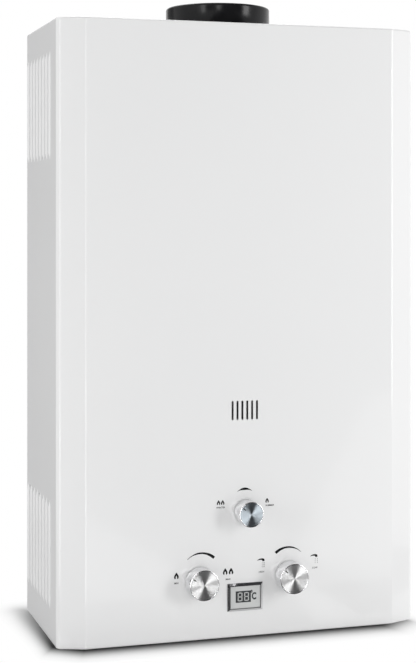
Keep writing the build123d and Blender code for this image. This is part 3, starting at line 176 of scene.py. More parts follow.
def weld_solid(node, name, material, body, crease=28):
    """A pressed, bent or turned piece: the solid's faces, welded and smooth over its curves."""
    shape = bmesh.new()
    shape.from_mesh(nodes[node].data)
    bmesh.ops.remove_doubles(shape, verts=shape.verts, dist=WELD_DISTANCE)
    fold_edges(shape, crease)
    mesh = into_mesh(shape, name)
    mesh.materials.clear()
    if "custom_normal" in mesh.attributes:
        mesh.attributes.remove(mesh.attributes["custom_normal"])
    piece = add_piece(name, mesh, [material], body, [node])
    weighting = piece.modifiers.new("even_shading", "WEIGHTED_NORMAL")
    weighting.keep_sharp = True
    weighting.weight = 100
    return piece


def dress(node, material):
    """Gives a solid that stays its own finish."""
    mesh = nodes[node].data
    mesh.materials.clear()
    mesh.materials.append(material)


powder_coat, shader, place = start_finish("powder_coat_white", PAINT_WHITE, 0.3)
shader.inputs["Specular IOR Level"].default_value = 0.3
shader.inputs["Coat Weight"].default_value = 0.7
shader.inputs["Coat Roughness"].default_value = 0.06
clouding = add_noise(place, 5, 3)
tint(shader, clouding, (0.0, (0.852, 0.855, 0.858)), (1.0, (0.876, 0.877, 0.877)))
vary_gloss(shader, add_noise(place, 40, 2), 0.27, 0.33, 0, 1)
add_relief(shader, add_noise(place, 650, 1), 0.00001)
weld_solid("front_cover", "casing_cover", powder_coat, "heater", crease=14)

# ------------------------ galvanised sheets
# Back plate, top and bottom panels, hood and brackets are zinc-coated sheet, stamped and
# folded. They are bare metal with a flat spangle and fine rolling marks.
zinc, shader, place = start_finish("zinc_spangle", (0.6, 0.61, 0.62, 1), 0.42, 0.9)
tree = shader.id_data
crystals = tree.nodes.new("ShaderNodeTexVoronoi")
crystals.inputs["Scale"].default_value = 95
tree.links.new(place, crystals.inputs["Vector"])
grey = tree.nodes.new("ShaderNodeSeparateColor")
tree.links.new(crystals.outputs["Color"], grey.inputs["Color"])
tint(shader, grey.outputs["Red"],
     (0.0, (0.52, 0.53, 0.545)), (0.5, (0.6, 0.61, 0.62)), (1.0, (0.69, 0.7, 0.7)))
vary_gloss(shader, grey.outputs["Green"], 0.34, 0.5, 0, 1)
add_relief(shader, add_noise(place, 300, 3, (1, 1, 0.08)), 0.00002)
for node, name in (
    ("back_plate", "rear_plate"),
    ("top_panel", "roof_sheet"),
    ("bottom_panel", "floor_sheet"),
    ("flue_hood", "gas_hood"),
    ("chamber_brackets", "hanger_brackets"),
):
    weld_solid(node, name, zinc, "heater")

# ------------------------ sheet-metal screws
# Ten pan-head screws with a cross recess, zinc-plated: four hold the cover's top rim, two its
# ears from below and four the flue collar.
HEAD_RADIUS = 0.0036
HEAD_HEIGHT = 0.002
SHANK_RADIUS = 0.0019
SHANK_LENGTH = 0.008
CROSS_LENGTH = 0.0038
CROSS_WIDTH = 0.0009
CROSS_DEPTH = 0.0012
MERGE_DISTANCE = 1e-7


def spin_profile(shape, outline, centre, axis=(0, 0, 1), steps=48):
    """Turns an outline of (radius, height) pairs about an axis through centre."""
    centre = Vector(centre)
    turn = Vector((0, 0, 1)).rotation_difference(Vector(axis))
    line = [shape.verts.new(centre + turn @ Vector((r, 0, h))) for r, h in outline]
    edges = [shape.edges.new(pair) for pair in zip(line, line[1:])]
    before = set(shape.faces)
    bmesh.ops.spin(
        shape,
        geom=line + edges,
        cent=centre,
        axis=axis,
        angle=2 * pi,
        steps=steps,
        use_merge=True,
        use_duplicate=False,
    )
    faces = [f for f in shape.faces if f not in before]
    verts = list({v for f in faces for v in f.verts})
    bmesh.ops.remove_doubles(shape, verts=verts, dist=MERGE_DISTANCE)


def finish_mesh(shape, name, crease=30):
    """Closes a worked shape: faces outwards, smooth up to the crease angle."""
    bmesh.ops.recalc_face_normals(shape, faces=shape.faces)
    fold_edges(shape, crease)
    return into_mesh(shape, name)


def finish_piece(shape, name, materials, body, replaced=(), crease=30):
    """Closes a worked shape and puts it in the scene."""
    return add_piece(name, finish_mesh(shape, name, crease), materials, body, replaced)


def add_block(shape, middle, size):
    """A square block round its middle; returns its corners."""
    place = Matrix.Translation(middle) @ Matrix.Diagonal((*size, 1))
    return bmesh.ops.create_cube(shape, size=1, matrix=place)["verts"]


def take_mesh(thing):
    """The mesh that an object shows once its modifiers are done; the object itself goes."""
    shown = thing.evaluated_get(bpy.context.evaluated_depsgraph_get())
    mesh = bpy.data.meshes.new_from_object(shown)
    bpy.data.objects.remove(thing)
    return mesh


plated, shader, place = start_finish("zinc_plated_screw", (0.72, 0.72, 0.73, 1), 0.28, 1)
vary_gloss(shader, add_noise(place, 900, 2), 0.2, 0.38)
add_relief(shader, add_noise(place, 1500, 1), 0.00001)

head = bmesh.new()
spin_profile(
    head,
    (
        (0, HEAD_HEIGHT),
        (0.0012, 0.00196),
        (0.0023, 0.00172),
        (0.0031, 0.00125),
        (HEAD_RADIUS, 0.0005),
        (HEAD_RADIUS, 0),
        (SHANK_RADIUS, 0),
        (SHANK_RADIUS, -0.0066),
        (0.0006, -SHANK_LENGTH),
        (0, -SHANK_LENGTH),
    ),
    (0, 0, 0),
    steps=24,
)
screw_blank = put_in("screw_blank", finish_mesh(head, "screw_blank"))
cross = bmesh.new()
for width, length in ((CROSS_LENGTH, CROSS_WIDTH), (CROSS_WIDTH, CROSS_LENGTH)):
    add_block(cross, (0, 0, HEAD_HEIGHT), (width, length, 2 * CROSS_DEPTH))
cross_cutter = put_in("cross_cutter", into_mesh(cross, "cross_cutter"))
recess = screw_blank.modifiers.new("recess", "BOOLEAN")
recess.object = cross_cutter
recess.solver = "EXACT"
recess.use_self = True
recess.operation = "DIFFERENCE"
cut_screw = take_mesh(screw_blank)
bpy.data.objects.remove(cross_cutter)

# Every screw is driven home at another angle.
casing_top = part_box("front_cover")[1].z
flue_low, flue_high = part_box("flue_collar")
flue_axis = (flue_low + flue_high) / 2
TOP_SCREW_X = 0.183
TOP_SCREW_ROWS = (-0.0295, 0.0505)
EAR_SCREW_X = 0.1812
EAR_SCREW_Y = -0.0135
EAR_FACE = 0.0272
FLUE_SCREW_RING = 0.061
SCREW_TURN = radians(37)
upright = Matrix.Identity(4)
from_below = Matrix.Rotation(pi, 4, "X")
screw_spots = [((x, y, casing_top), upright)
               for x in (-TOP_SCREW_X, TOP_SCREW_X) for y in TOP_SCREW_ROWS]
screw_spots += [((x, EAR_SCREW_Y, EAR_FACE), from_below) for x in (-EAR_SCREW_X, EAR_SCREW_X)]
for bearing in (45, 135, 225, 315):
    across = FLUE_SCREW_RING * cos(radians(bearing))
    back = FLUE_SCREW_RING * sin(radians(bearing))
    screw_spots.append(((across, flue_axis.y + back, casing_top), upright))
screws = bmesh.new()
for index, (spot, way) in enumerate(screw_spots):
    before = set(screws.verts)
    screws.from_mesh(cut_screw)
    fresh = [v for v in screws.verts if v not in before]
    turn = way @ Matrix.Rotation(SCREW_TURN * index, 4, "Z")
    bmesh.ops.transform(screws, matrix=Matrix.Translation(spot) @ turn, verts=fresh)
finish_piece(screws, "cover_screws", [plated], "heater", ["panel_screws"])

# ------------------------ flue collar
# A short drawn steel tube with a flange below and a curled rim above, dipped in gloss black
# enamel and screwed to the roof. A 110 mm duct slides over it.
COLLAR_RADIUS = 0.055
COLLAR_WALL = 0.001
CURL_RADIUS = 0.0025
CURL_START = -18
CURL_TURN = 250
CURL_STEPS = 14
FLANGE_RADIUS = 0.067
SHEET = 0.0008
enamel, shader, place = start_finish("black_enamel", (0.009, 0.009, 0.010, 1), 0.16)
shader.inputs["Specular IOR Level"].default_value = 0.2
tint(shader, add_noise(place, 30, 3),
     (0.35, (0.007, 0.007, 0.008)), (0.7, (0.014, 0.014, 0.015)))
vary_gloss(shader, add_noise(place, 120, 3), 0.13, 0.24)
add_relief(shader, add_noise(place, 90, 2), 0.00005)

curl_z = flue_high.z - CURL_RADIUS
curl_x = COLLAR_RADIUS - CURL_RADIUS
foot_z = casing_top - SHEET
outline = [
    (COLLAR_RADIUS - COLLAR_WALL, foot_z),
    (FLANGE_RADIUS, foot_z),
    (FLANGE_RADIUS, casing_top - 0.0002),
    (FLANGE_RADIUS - 0.0003, casing_top),
    # The flange runs up into the tube over a small fillet.
    (COLLAR_RADIUS + 0.0014, casing_top),
    (COLLAR_RADIUS + 0.0005, casing_top + 0.0003),
    (COLLAR_RADIUS, casing_top + 0.0012),
]
for step in range(CURL_STEPS + 1):
    angle = radians(CURL_START + step * CURL_TURN / CURL_STEPS)
    outline.append((curl_x + CURL_RADIUS * cos(angle), curl_z + CURL_RADIUS * sin(angle)))
outline += [(COLLAR_RADIUS - COLLAR_WALL, curl_z - 0.003), (COLLAR_RADIUS - COLLAR_WALL, foot_z)]
collar = bmesh.new()
spin_profile(collar, outline, (0, flue_axis.y, 0), steps=128)
finish_piece(collar, "flue_spigot_collar", [enamel], "heater", ["flue_collar"],
             crease=40)

# ------------------------ copper heat exchanger
# Combustion chamber, finned exchanger and water pipes are brazed copper. It is browned by
# heat near the flames and dulled with a thin oxide elsewhere.
copper, shader, place = start_finish("browned_copper", (0.78, 0.42, 0.28, 1), 0.34, 1)
tint(shader, add_noise(place, 22, 4),
     (0.3, (0.42, 0.21, 0.13)), (0.5, (0.68, 0.35, 0.23)), (0.75, (0.84, 0.5, 0.36)))
vary_gloss(shader, add_noise(place, 60, 3), 0.26, 0.5)
add_relief(shader, add_noise(place, 400, 2), 0.00002)
for node, name in (
    ("combustion_chamber", "flame_chamber"),
    ("exchanger_casing", "exchanger_shell"),
    ("exchanger_fins", "fin_stack"),
    ("fin_tubes", "finned_tubes"),
    ("shell_coil", "chamber_coil"),
    ("inlet_pipe", "cold_pipe"),
    ("outlet_pipe", "hot_pipe"),
):
    weld_solid(node, name, copper, "heater")

# ------------------------ stainless burner parts
# Burner frame, thirteen blades, electrode bracket, solenoid shell and thermostat are stainless
# sheet, brushed along its length and blued a little where the flames stand.
stainless, shader, place = start_finish("brushed_stainless", (0.58, 0.58, 0.57, 1), 0.32, 1)
brushing = add_noise(place, 420, 3, (0.04, 1, 1))
tint(shader, brushing, (0.3, (0.5, 0.5, 0.5)), (0.7, (0.66, 0.655, 0.64)))
vary_gloss(shader, brushing, 0.24, 0.42)
add_relief(shader, brushing, 0.00001)
for node, name in (
    ("burner_frame", "burner_tray"),
    ("burner_blades", "burner_heads"),
    ("electrode_bracket", "spark_bracket"),
    ("solenoid_body", "solenoid_shell"),
    ("overheat_thermostat", "overheat_cutout"),
):
    weld_solid(node, name, stainless, "heater")

# ------------------------ electrodes
# The spark and flame-sensing electrodes are glazed ceramic sleeves with a steel wire; only the
# glaze shows from outside their bracket.
glaze, shader, place = start_finish("ceramic_glaze", (0.82, 0.8, 0.75, 1), 0.14)
tint(shader, add_noise(place, 180, 2), (0.3, (0.78, 0.755, 0.7)), (0.7, (0.86, 0.84, 0.8)))
vary_gloss(shader, add_noise(place, 300, 1), 0.1, 0.22)
weld_solid("ignition_electrode", "spark_electrode", glaze, "heater")
weld_solid("flame_sensor", "sensing_electrode", glaze, "heater")

# ------------------------ aluminium castings
# Gas valve, season valve, riser and burner manifold are die-cast aluminium, shot-blasted matt,
# and bolted together face to face.
casting, shader, place = start_finish("diecast_aluminium", (0.55, 0.56, 0.57, 1), 0.5, 0.9)
tint(shader, add_noise(place, 120, 4), (0.3, (0.48, 0.485, 0.5)), (0.7, (0.63, 0.635, 0.64)))
vary_gloss(shader, add_noise(place, 500, 2), 0.42, 0.6)
add_relief(shader, add_noise(place, 1400, 2), 0.00004)
for node, name in (
    ("gas_manifold", "burner_manifold"),
    ("gas_valve_body", "gas_valve_casting"),
    ("gas_valve_cap", "gas_valve_plug"),
    ("gas_riser", "riser_casting"),
    ("season_valve_body", "season_valve_casting"),
):
    weld_solid(node, name, casting, "heater")

# ------------------------ brass turned parts
# Water valve, spindles, nuts, jets and relief valve are turned brass with fine tool marks.
# The spindles turn with their knobs and the diaphragm plate slides with the push rod.
brass, shader, place = start_finish("turned_brass", (0.72, 0.52, 0.22, 1), 0.26, 1)
tint(shader, add_noise(place, 70, 3), (0.3, (0.6, 0.42, 0.17)), (0.7, (0.8, 0.6, 0.28)))
tooling = add_noise(place, 900, 2, (1, 1, 6))
vary_gloss(shader, tooling, 0.21, 0.32)
add_relief(shader, tooling, 0.000003)
for node, name, body in (
    ("gas_nozzles", "gas_jets", "heater"),
    ("gas_spindle", "gas_stem", "gas_control"),
    ("water_spindle", "water_stem", "water_control"),
    ("season_spindle", "season_stem", "season_control"),
    ("spindle_nuts", "panel_nuts", "heater"),
    ("water_valve_body", "water_valve_casting", "heater"),
    ("diaphragm_cover", "diaphragm_lid", "heater"),
    ("diaphragm_plate", "pressure_disc", "linkage"),
    ("relief_valve", "drain_valve", "heater"),
):
    weld_solid(node, name, brass, body)

# ------------------------ threaded pipe fittings
# Three half-inch brass fittings, turned from hexagon bar: the hexagon seats on the bottom
# panel and the parallel thread below it takes a union nut.
THREAD_CREST = 0.01045
THREAD_ROOT = 0.0093
THREAD_PITCH = 0.001814
THREAD_TURNS = 9
THREAD_STEPS = 36
NECK_RADIUS = 0.0098
FITTING_BORE = 0.007
HEX_FLAT = 0.012
THREAD_LOW = 0.007
THREAD_HIGH = 0.025
THREAD_LEAD_IN = 0.0007
RIDGE_START = 0.0009
RIDGE_FOOT = 0.0007
RIDGE_CREST = 0.00012
BORE_CHAMFER = 0.0006
TOP_CHAMFER = 0.0008
SUNK = 0.0002
PANEL_TOP = 0.0288


def edges_of(verts):
    """The edges that meet at the given corners."""
    return list({e for v in verts for e in v.link_edges})


def raise_faces(shape, faces, rise):
    """Lifts flat faces by a step and closes the sides below them."""
    raised = bmesh.ops.extrude_face_region(shape, geom=faces)["geom"]
    lifted = [v for v in raised if isinstance(v, bmesh.types.BMVert)]
    bmesh.ops.translate(shape, verts=lifted, vec=rise)


def turn_fitting(node, name):
    """Bored core with a neck, a hexagon ring above and a helical ridge around the core."""
    low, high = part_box(node)
    x, y = (low.x + high.x) / 2, (low.y + high.y) / 2
    shape = bmesh.new()
    spin_profile(
        shape,
        (
            (FITTING_BORE, THREAD_LOW + BORE_CHAMFER),
            (FITTING_BORE + BORE_CHAMFER, THREAD_LOW),
            (THREAD_ROOT - THREAD_LEAD_IN, THREAD_LOW),
            (THREAD_ROOT, THREAD_LOW + THREAD_LEAD_IN),
            (THREAD_ROOT, THREAD_HIGH - 0.0005),
            (NECK_RADIUS, THREAD_HIGH),
            (NECK_RADIUS, PANEL_TOP + 0.001),
            (NECK_RADIUS, high.z - TOP_CHAMFER),
            (FITTING_BORE, high.z - TOP_CHAMFER),
            (FITTING_BORE, THREAD_LOW + BORE_CHAMFER),
        ),
        (x, y, 0),
    )
    ridge = [
        shape.verts.new((x + radius, y, THREAD_LOW + RIDGE_START + rise))
        for radius, rise in (
            (THREAD_ROOT - SUNK, -RIDGE_FOOT),
            (THREAD_CREST, -RIDGE_CREST),
            (THREAD_CREST, RIDGE_CREST),
            (THREAD_ROOT - SUNK, RIDGE_FOOT),
        )
    ]
    section = shape.faces.new(ridge)
    bmesh.ops.spin(
        shape,
        geom=[section, *section.edges, *section.verts],
        cent=(x, y, 0),
        axis=(0, 0, 1),
        dvec=(0, 0, THREAD_PITCH / THREAD_STEPS),
        angle=2 * pi * THREAD_TURNS,
        steps=THREAD_TURNS * THREAD_STEPS,
        use_merge=False,
        use_duplicate=False,
    )
    middle = Matrix.Translation((x, y, PANEL_TOP))
    outer = bmesh.ops.create_circle(
        shape,
        segments=6,
        radius=HEX_FLAT / cos(radians(30)),
        matrix=middle @ Matrix.Rotation(radians(30), 4, "Z"),
    )["verts"]
    split = bmesh.ops.subdivide_edges(shape, edges=edges_of(outer), cuts=3)
    rim = [e for e in split["geom"] if isinstance(e, bmesh.types.BMEdge)]
    inner = bmesh.ops.create_circle(shape, segments=24, radius=NECK_RADIUS - SUNK, matrix=middle)
    ring = bmesh.ops.bridge_loops(shape, edges=rim + edges_of(inner["verts"]))["faces"]
    raise_faces(shape, ring, (0, 0, high.z - PANEL_TOP))
    finish_piece(shape, name, [brass], "heater", [node])


turn_fitting("cold_inlet_fitting", "cold_union")
turn_fitting("hot_outlet_fitting", "hot_union")
turn_fitting("gas_inlet_fitting", "gas_union")

# ------------------------ springs, rods and small steel
# Push rod, return springs, solenoid plunger, switch lever and battery contacts are bright
# drawn or rolled steel.
bright_steel, shader, place = start_finish("bright_steel", (0.5, 0.5, 0.51, 1), 0.3, 1)
drawn = add_noise(place, 600, 3)
tint(shader, drawn, (0.3, (0.42, 0.42, 0.43)), (0.7, (0.58, 0.58, 0.59)))
vary_gloss(shader, drawn, 0.24, 0.36)
for node, name, body in (
    ("push_rod", "sliding_rod", "linkage"),
    ("solenoid_plunger", "solenoid_core", "gas_plunger"),
    ("microswitch_lever", "switch_blade", "switch_arm"),
    ("battery_contacts", "cell_contacts", "heater"),
):
    weld_solid(node, name, bright_steel, body)
weld_solid("diaphragm_screws", "lid_screws", plated, "heater")

# Each return spring rests on a fixed end, the gas spring on its left end and the solenoid spring
# on its top end. Each is welded like the other bright steel and given a mesh of its own.
for node, name, joint, along, fixed in (
    ("gas_return_spring", "gas_disc_spring", "push_rod_slide", (1, 0, 0), 0),
    ("solenoid_spring", "plunger_spring", "solenoid_lift", (0, 0, 1), 1),
):
    coil = weld_solid(node, name, bright_steel, "heater")
    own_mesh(coil)

# ------------------------ rubber parts
# Moulded nitrile rubber: the diaphragm between the two halves of the water valve, and the
# sealing disc of the gas valve, which slides with the push rod.
rubber, shader, place = start_finish("nitrile_rubber", (0.03, 0.03, 0.03, 1), 0.72)
vary_gloss(shader, add_noise(place, 250, 2), 0.62, 0.82)
tint(shader, add_noise(place, 80, 2),
     (0.3, (0.024, 0.024, 0.025)), (0.7, (0.042, 0.042, 0.042)))
add_relief(shader, add_noise(place, 1200, 2), 0.00003)
weld_solid("diaphragm", "rubber_diaphragm", rubber, "heater")
weld_solid("gas_valve_disc", "sealing_disc", rubber, "linkage")

# ------------------------ moulded plastic parts
# The microswitch, igniter box and drain lever are black plastic and the battery box is light
# grey, all with the fine spark-eroded grain of their moulds.


def mould_plastic(name, low, high):
    """Moulded plastic between two shades with a fine matt grain."""
    middle = tuple((a + b) / 2 for a, b in zip(low, high))
    material, shader, place = start_finish(name, (*middle, 1), 0.45)
    tint(shader, add_noise(place, 60, 3), (0.3, low), (0.7, high))
    vary_gloss(shader, add_noise(place, 200, 2), 0.38, 0.55)
    add_relief(shader, add_noise(place, 1600, 1), 0.00003)
    return material


black_plastic = mould_plastic("black_plastic", (0.02, 0.02, 0.022), (0.034, 0.034, 0.036))
grey_plastic = mould_plastic("grey_plastic", (0.36, 0.37, 0.38), (0.42, 0.43, 0.44))
weld_solid("microswitch", "switch_case", black_plastic, "heater")
weld_solid("igniter_box", "pulse_igniter", black_plastic, "heater")
weld_solid("relief_lever", "drain_lever", black_plastic, "relief_handle")
weld_solid("battery_box", "battery_case", grey_plastic, "heater")
weld_solid("battery_door", "battery_lid", grey_plastic, "battery_hatch")

# Five low ribs across the battery door give a fingertip something to pull on.
door_low, door_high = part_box("battery_door")
RIB_COUNT = 5
RIB_PITCH = 0.003
RIB_START = 0.005
RIB_SIZE = (0.026, 0.0012, 0.0012)
RIB_ROUND = 0.00035
DOOR_UNDERSIDE = 0.0256


def round_edges(shape, edges, offset, segments):
    """Rounds edges over by a few small steps."""
    bmesh.ops.bevel(
        shape,
        geom=edges,
        offset=offset,
        segments=segments,
        profile=0.5,
        affect="EDGES",
        material=-1,
    )


grip = bmesh.new()
for index in range(RIB_COUNT):
    rib_y = door_low.y + RIB_START + index * RIB_PITCH
    rib = add_block(grip, ((door_low.x + door_high.x) / 2, rib_y, DOOR_UNDERSIDE), RIB_SIZE)
    round_edges(grip, edges_of(rib), RIB_ROUND, 3)
finish_piece(grip, "battery_lid_ribs", [grey_plastic], "battery_hatch")

# ------------------------ battery cells
# Two D cells in plain shrink jackets, upright in their box.
jacket, shader, place = start_finish("cell_jacket", (0.06, 0.065, 0.075, 1), 0.25)
vary_gloss(shader, add_noise(place, 90, 2), 0.2, 0.36)
tint(shader, add_noise(place, 40, 2), (0.3, (0.05, 0.055, 0.065)), (0.7, (0.075, 0.08, 0.09)))
weld_solid("battery_cells", "dry_cells", jacket, "heater")

# ------------------------ temperature display
# A plated frame with sloping sides clips into the cover and holds a grey liquid-crystal window;
# the circuit board sits behind it.
plate_chrome, shader, place = start_finish("frame_chrome", (0.78, 0.78, 0.79, 1), 0.07, 1)
vary_gloss(shader, add_noise(place, 500, 2), 0.05, 0.12)
weld_solid("display_bezel", "display_frame", plate_chrome, "heater", crease=20)

window, shader, place = start_finish("lcd_window", (0.62, 0.63, 0.625, 1), 0.12)
tint(shader, add_noise(place, 45, 2), (0.3, (0.6, 0.61, 0.605)), (0.7, (0.65, 0.66, 0.655)))
vary_gloss(shader, add_noise(place, 800, 1), 0.08, 0.16)
dress("display_screen", window)

board, shader, place = start_finish("circuit_board", (0.02, 0.12, 0.05, 1), 0.4)
tree = shader.id_data
tracks = tree.nodes.new("ShaderNodeTexBrick")
tracks.inputs["Scale"].default_value = 220
tree.links.new(place, tracks.inputs["Vector"])
tint(shader, tracks.outputs["Fac"], (0.0, (0.015, 0.1, 0.04)), (1.0, (0.05, 0.2, 0.09)))
dress("display_board", board)

# The digits are a dark block with two light eights, and the degree sign with its letter.
glass_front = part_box("display_screen")[0].y
frame_low, frame_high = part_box("display_bezel")
INK_THICK = 0.00008
BLOCK_INSET = 0.0083
BLOCK_WIDTH = 0.0161
BLOCK_DROP = 0.0077
BLOCK_HEIGHT = 0.0115
DIGIT_INSETS = (0.0021, 0.0090)
DIGIT_WIDTH = 0.0050
DIGIT_HEIGHT = 0.0088
STROKE = 0.0010
STROKE_INSET = 1.1 * STROKE
END_GAP = 0.0004
MIDDLE_GAP = 0.0002
LETTER_WIDTH = 0.72
segment_ink, shader, place = start_finish("lcd_segment", (0.045, 0.047, 0.05, 1), 0.3)
vary_gloss(shader, add_noise(place, 1500, 1), 0.25, 0.35)
clear_segment, shader, place = start_finish("lcd_clear", (0.55, 0.56, 0.55, 1), 0.3)
vary_gloss(shader, add_noise(place, 1500, 1), 0.25, 0.35)


def ink_plate(shape, left, right, low, high, layer):
    """A plate as thin as ink between two corners, in the first or second layer on the glass."""
    middle = ((left + right) / 2, glass_front + (0.5 - layer) * INK_THICK, (low + high) / 2)
    add_block(shape, middle, (right - left, INK_THICK, high - low))


block_left = frame_low.x + BLOCK_INSET
block_right = block_left + BLOCK_WIDTH
block_top = frame_high.z - BLOCK_DROP
block_bottom = block_top - BLOCK_HEIGHT
digits = bmesh.new()
ink_plate(digits, block_left, block_right, block_bottom, block_top, 1)
finish_piece(digits, "digit_block", [segment_ink], "heater")

eights = bmesh.new()
digit_low = (block_bottom + block_top - DIGIT_HEIGHT) / 2
digit_middle = digit_low + DIGIT_HEIGHT / 2
digit_high = digit_low + DIGIT_HEIGHT
for inset in DIGIT_INSETS:
    digit_left = block_left + inset
    digit_right = digit_left + DIGIT_WIDTH
    for low in (digit_low, digit_middle - STROKE / 2, digit_high - STROKE):
        ink_plate(eights, digit_left + STROKE_INSET, digit_right - STROKE_INSET,
                  low, low + STROKE, 2)
    for left in (digit_left, digit_right - STROKE):
        ink_plate(eights, left, left + STROKE,
                  digit_low + END_GAP, digit_middle - MIDDLE_GAP, 2)
        ink_plate(eights, left, left + STROKE,
                  digit_middle + MIDDLE_GAP, digit_high - END_GAP, 2)
finish_piece(eights, "digit_segments", [clear_segment], "heater")


def upright_text(name, words, size, x, z, y_front, thick, stretch=1.0, weight=0.0):
    """Plain raised lettering, standing upright and facing the front."""
    curve = bpy.data.curves.new(name, "FONT")
    curve.body = words
    curve.size = size
    curve.align_x = "CENTER"
    curve.align_y = "CENTER"
    curve.extrude = thick / 2
    curve.offset = weight
    line = put_in(name + "_line", curve)
    bpy.context.view_layer.update()
    mesh = take_mesh(line)
    mesh.name = name
    mesh.materials.clear()
    upright = Matrix.Rotation(pi / 2, 4, "X") @ Matrix.Diagonal((stretch, 1, 1, 1))
    mesh.transform(Matrix.Translation((x, y_front + thick / 2, z)) @ upright)
    return mesh


for name, words, size, right, up, weight in (
    ("unit_letter", "C", 0.0094, 0.0034, -0.0004, 0.0004),
    ("degree_sign", "°", 0.0088, 0.0007, 0.0023, 0.0003),
):
    mesh = upright_text(name, words, size, block_right + right, digit_middle + up,
                        glass_front - INK_THICK, INK_THICK, LETTER_WIDTH, weight)
    add_piece(name, mesh, [segment_ink], "heater")

# ------------------------ control knobs
# Three hollow knobs, plated to a mirror on the sides, with a flat face turned in fine rings
# inside a narrow rim. Each carries a small black pointer and is pushed onto its brass stem.
KNOB_BACK = -0.074
KNOB_FRONT = -0.0915
KNOB_WALL = 0.0015
KNOB_BORE = 0.00305
KNOB_HUB = 0.0055
KNOB_FLOOR = 0.003
RIM_WIDTH = 0.0008
FACE_DEPTH = 0.0002
FRONT_ROUND = 0.0006
RIM_ROUND = 0.00008
BACK_ROUND = 0.0003
POINTER_SIZE = (0.0011, 0.00012, 0.0036)
POINTER_INSET = 0.0034
POINTER_DEPTH = 0.00016
POINTER_ROUND = 0.0004
ON_PLACE = 1e-5
mirror_chrome, shader, place = start_finish("mirror_chrome", (0.82, 0.82, 0.83, 1), 0.06, 1)
vary_gloss(shader, add_noise(place, 300, 2), 0.04, 0.11)
add_relief(shader, add_noise(place, 120, 2), 0.00001)
pointer_ink, shader, place = start_finish("pointer_ink", (0.015, 0.015, 0.016, 1), 0.5)
vary_gloss(shader, add_noise(place, 900, 1), 0.42, 0.6)


def spun_face(name, centre, colour):
    """Chrome turned in fine rings round a centre: it shines across the rings in two fans."""
    material, shader, place = start_finish(name, colour, 0.36, 1)
    shader.inputs["Anisotropic"].default_value = 1.0
    shader.inputs["Anisotropic Rotation"].default_value = 0.25
    tree = shader.id_data
    tangent = tree.nodes.new("ShaderNodeTangent")
    tangent.direction_type = "RADIAL"
    tangent.axis = "Y"
    tree.links.new(tangent.outputs["Tangent"], shader.inputs["Tangent"])
    mapping = tree.nodes.new("ShaderNodeMapping")
    mapping.inputs["Location"].default_value = (-centre[0], 0, -centre[1])
    tree.links.new(place, mapping.inputs["Vector"])
    rings = tree.nodes.new("ShaderNodeTexWave")
    rings.wave_type = "RINGS"
    rings.rings_direction = "Y"
    rings.inputs["Scale"].default_value = 900
    rings.inputs["Distortion"].default_value = 0.6
    tree.links.new(mapping.outputs["Vector"], rings.inputs["Vector"])
    vary_gloss(shader, rings.outputs["Fac"], 0.32, 0.40, 0, 1)
    return material


def turn_knob(control, radius, centre, pointer_angle, face_colour):
    """A knob turned about an axis through its centre, and its pointer at an angle from the top."""
    x, z = centre
    front, back = -KNOB_FRONT, -KNOB_BACK
    hub_floor = front - KNOB_FLOOR
    shape = bmesh.new()
    spin_profile(
        shape,
        (
            (0, hub_floor),
            (KNOB_BORE, hub_floor),
            (KNOB_BORE, back),
            (KNOB_HUB, back),
            (KNOB_HUB, hub_floor),
            (radius - KNOB_WALL, hub_floor),
            (radius - KNOB_WALL, back),
            (radius, back),
            (radius, front),
            (radius - RIM_WIDTH, front),
            (radius - RIM_WIDTH - FACE_DEPTH, front - FACE_DEPTH),
            (0, front - FACE_DEPTH),
        ),
        (x, 0, z),
        axis=(0, -1, 0),
        steps=96,
    )

    def on_ring(edge, ring_radius, y):
        return all(
            abs(v.co.y - y) < ON_PLACE
            and abs(hypot(v.co.x - x, v.co.z - z) - ring_radius) < ON_PLACE
            for v in edge.verts
        )

    for ring_radius, y, offset in (
        (radius, KNOB_FRONT, FRONT_ROUND),
        (radius - RIM_WIDTH, KNOB_FRONT, RIM_ROUND),
        (radius, KNOB_BACK, BACK_ROUND),
    ):
        ring = [e for e in shape.edges if on_ring(e, ring_radius, y)]
        round_edges(shape, ring, offset, 4)
    for face in shape.faces:
        middle = face.calc_center_median()
        inside = hypot(middle.x - x, middle.z - z) < radius - RIM_WIDTH - FACE_DEPTH
        if inside and abs(middle.y - KNOB_FRONT - FACE_DEPTH) < ON_PLACE:
            face.material_index = 1
    body = control + "_control"
    face_finish = spun_face(control + "_dial_face", centre, face_colour)
    finish_piece(shape, control + "_dial", [mirror_chrome, face_finish], body,
                 [control + "_knob"])

    mark = bmesh.new()
    bar = add_block(mark, (0, KNOB_FRONT + POINTER_DEPTH, radius - POINTER_INSET), POINTER_SIZE)
    corners = [e for e in edges_of(bar) if abs(e.verts[0].co.y - e.verts[1].co.y) > ON_PLACE]
    round_edges(mark, corners, POINTER_ROUND, 4)
    bmesh.ops.transform(
        mark,
        matrix=Matrix.Translation((x, 0, z)) @ Matrix.Rotation(radians(pointer_angle), 4, "Y"),
        verts=mark.verts,
    )
    finish_piece(mark, control + "_pointer", [pointer_ink], body)


LOW_KNOB_RADIUS = 0.01525
SEASON_KNOB_RADIUS = 0.0128
GAS_CENTRE = (-0.0465, 0.0586)
WATER_CENTRE = (0.0485, 0.0586)
SEASON_CENTRE = (0.0026, 0.126)
NICKEL = (0.93, 0.93, 0.93, 1)
BLUE_NICKEL = (0.56, 0.62, 0.67, 1)
turn_knob("gas", LOW_KNOB_RADIUS, GAS_CENTRE, -60, NICKEL)
turn_knob("water", LOW_KNOB_RADIUS, WATER_CENTRE, -48, NICKEL)
turn_knob("season", SEASON_KNOB_RADIUS, SEASON_CENTRE, -52, BLUE_NICKEL)

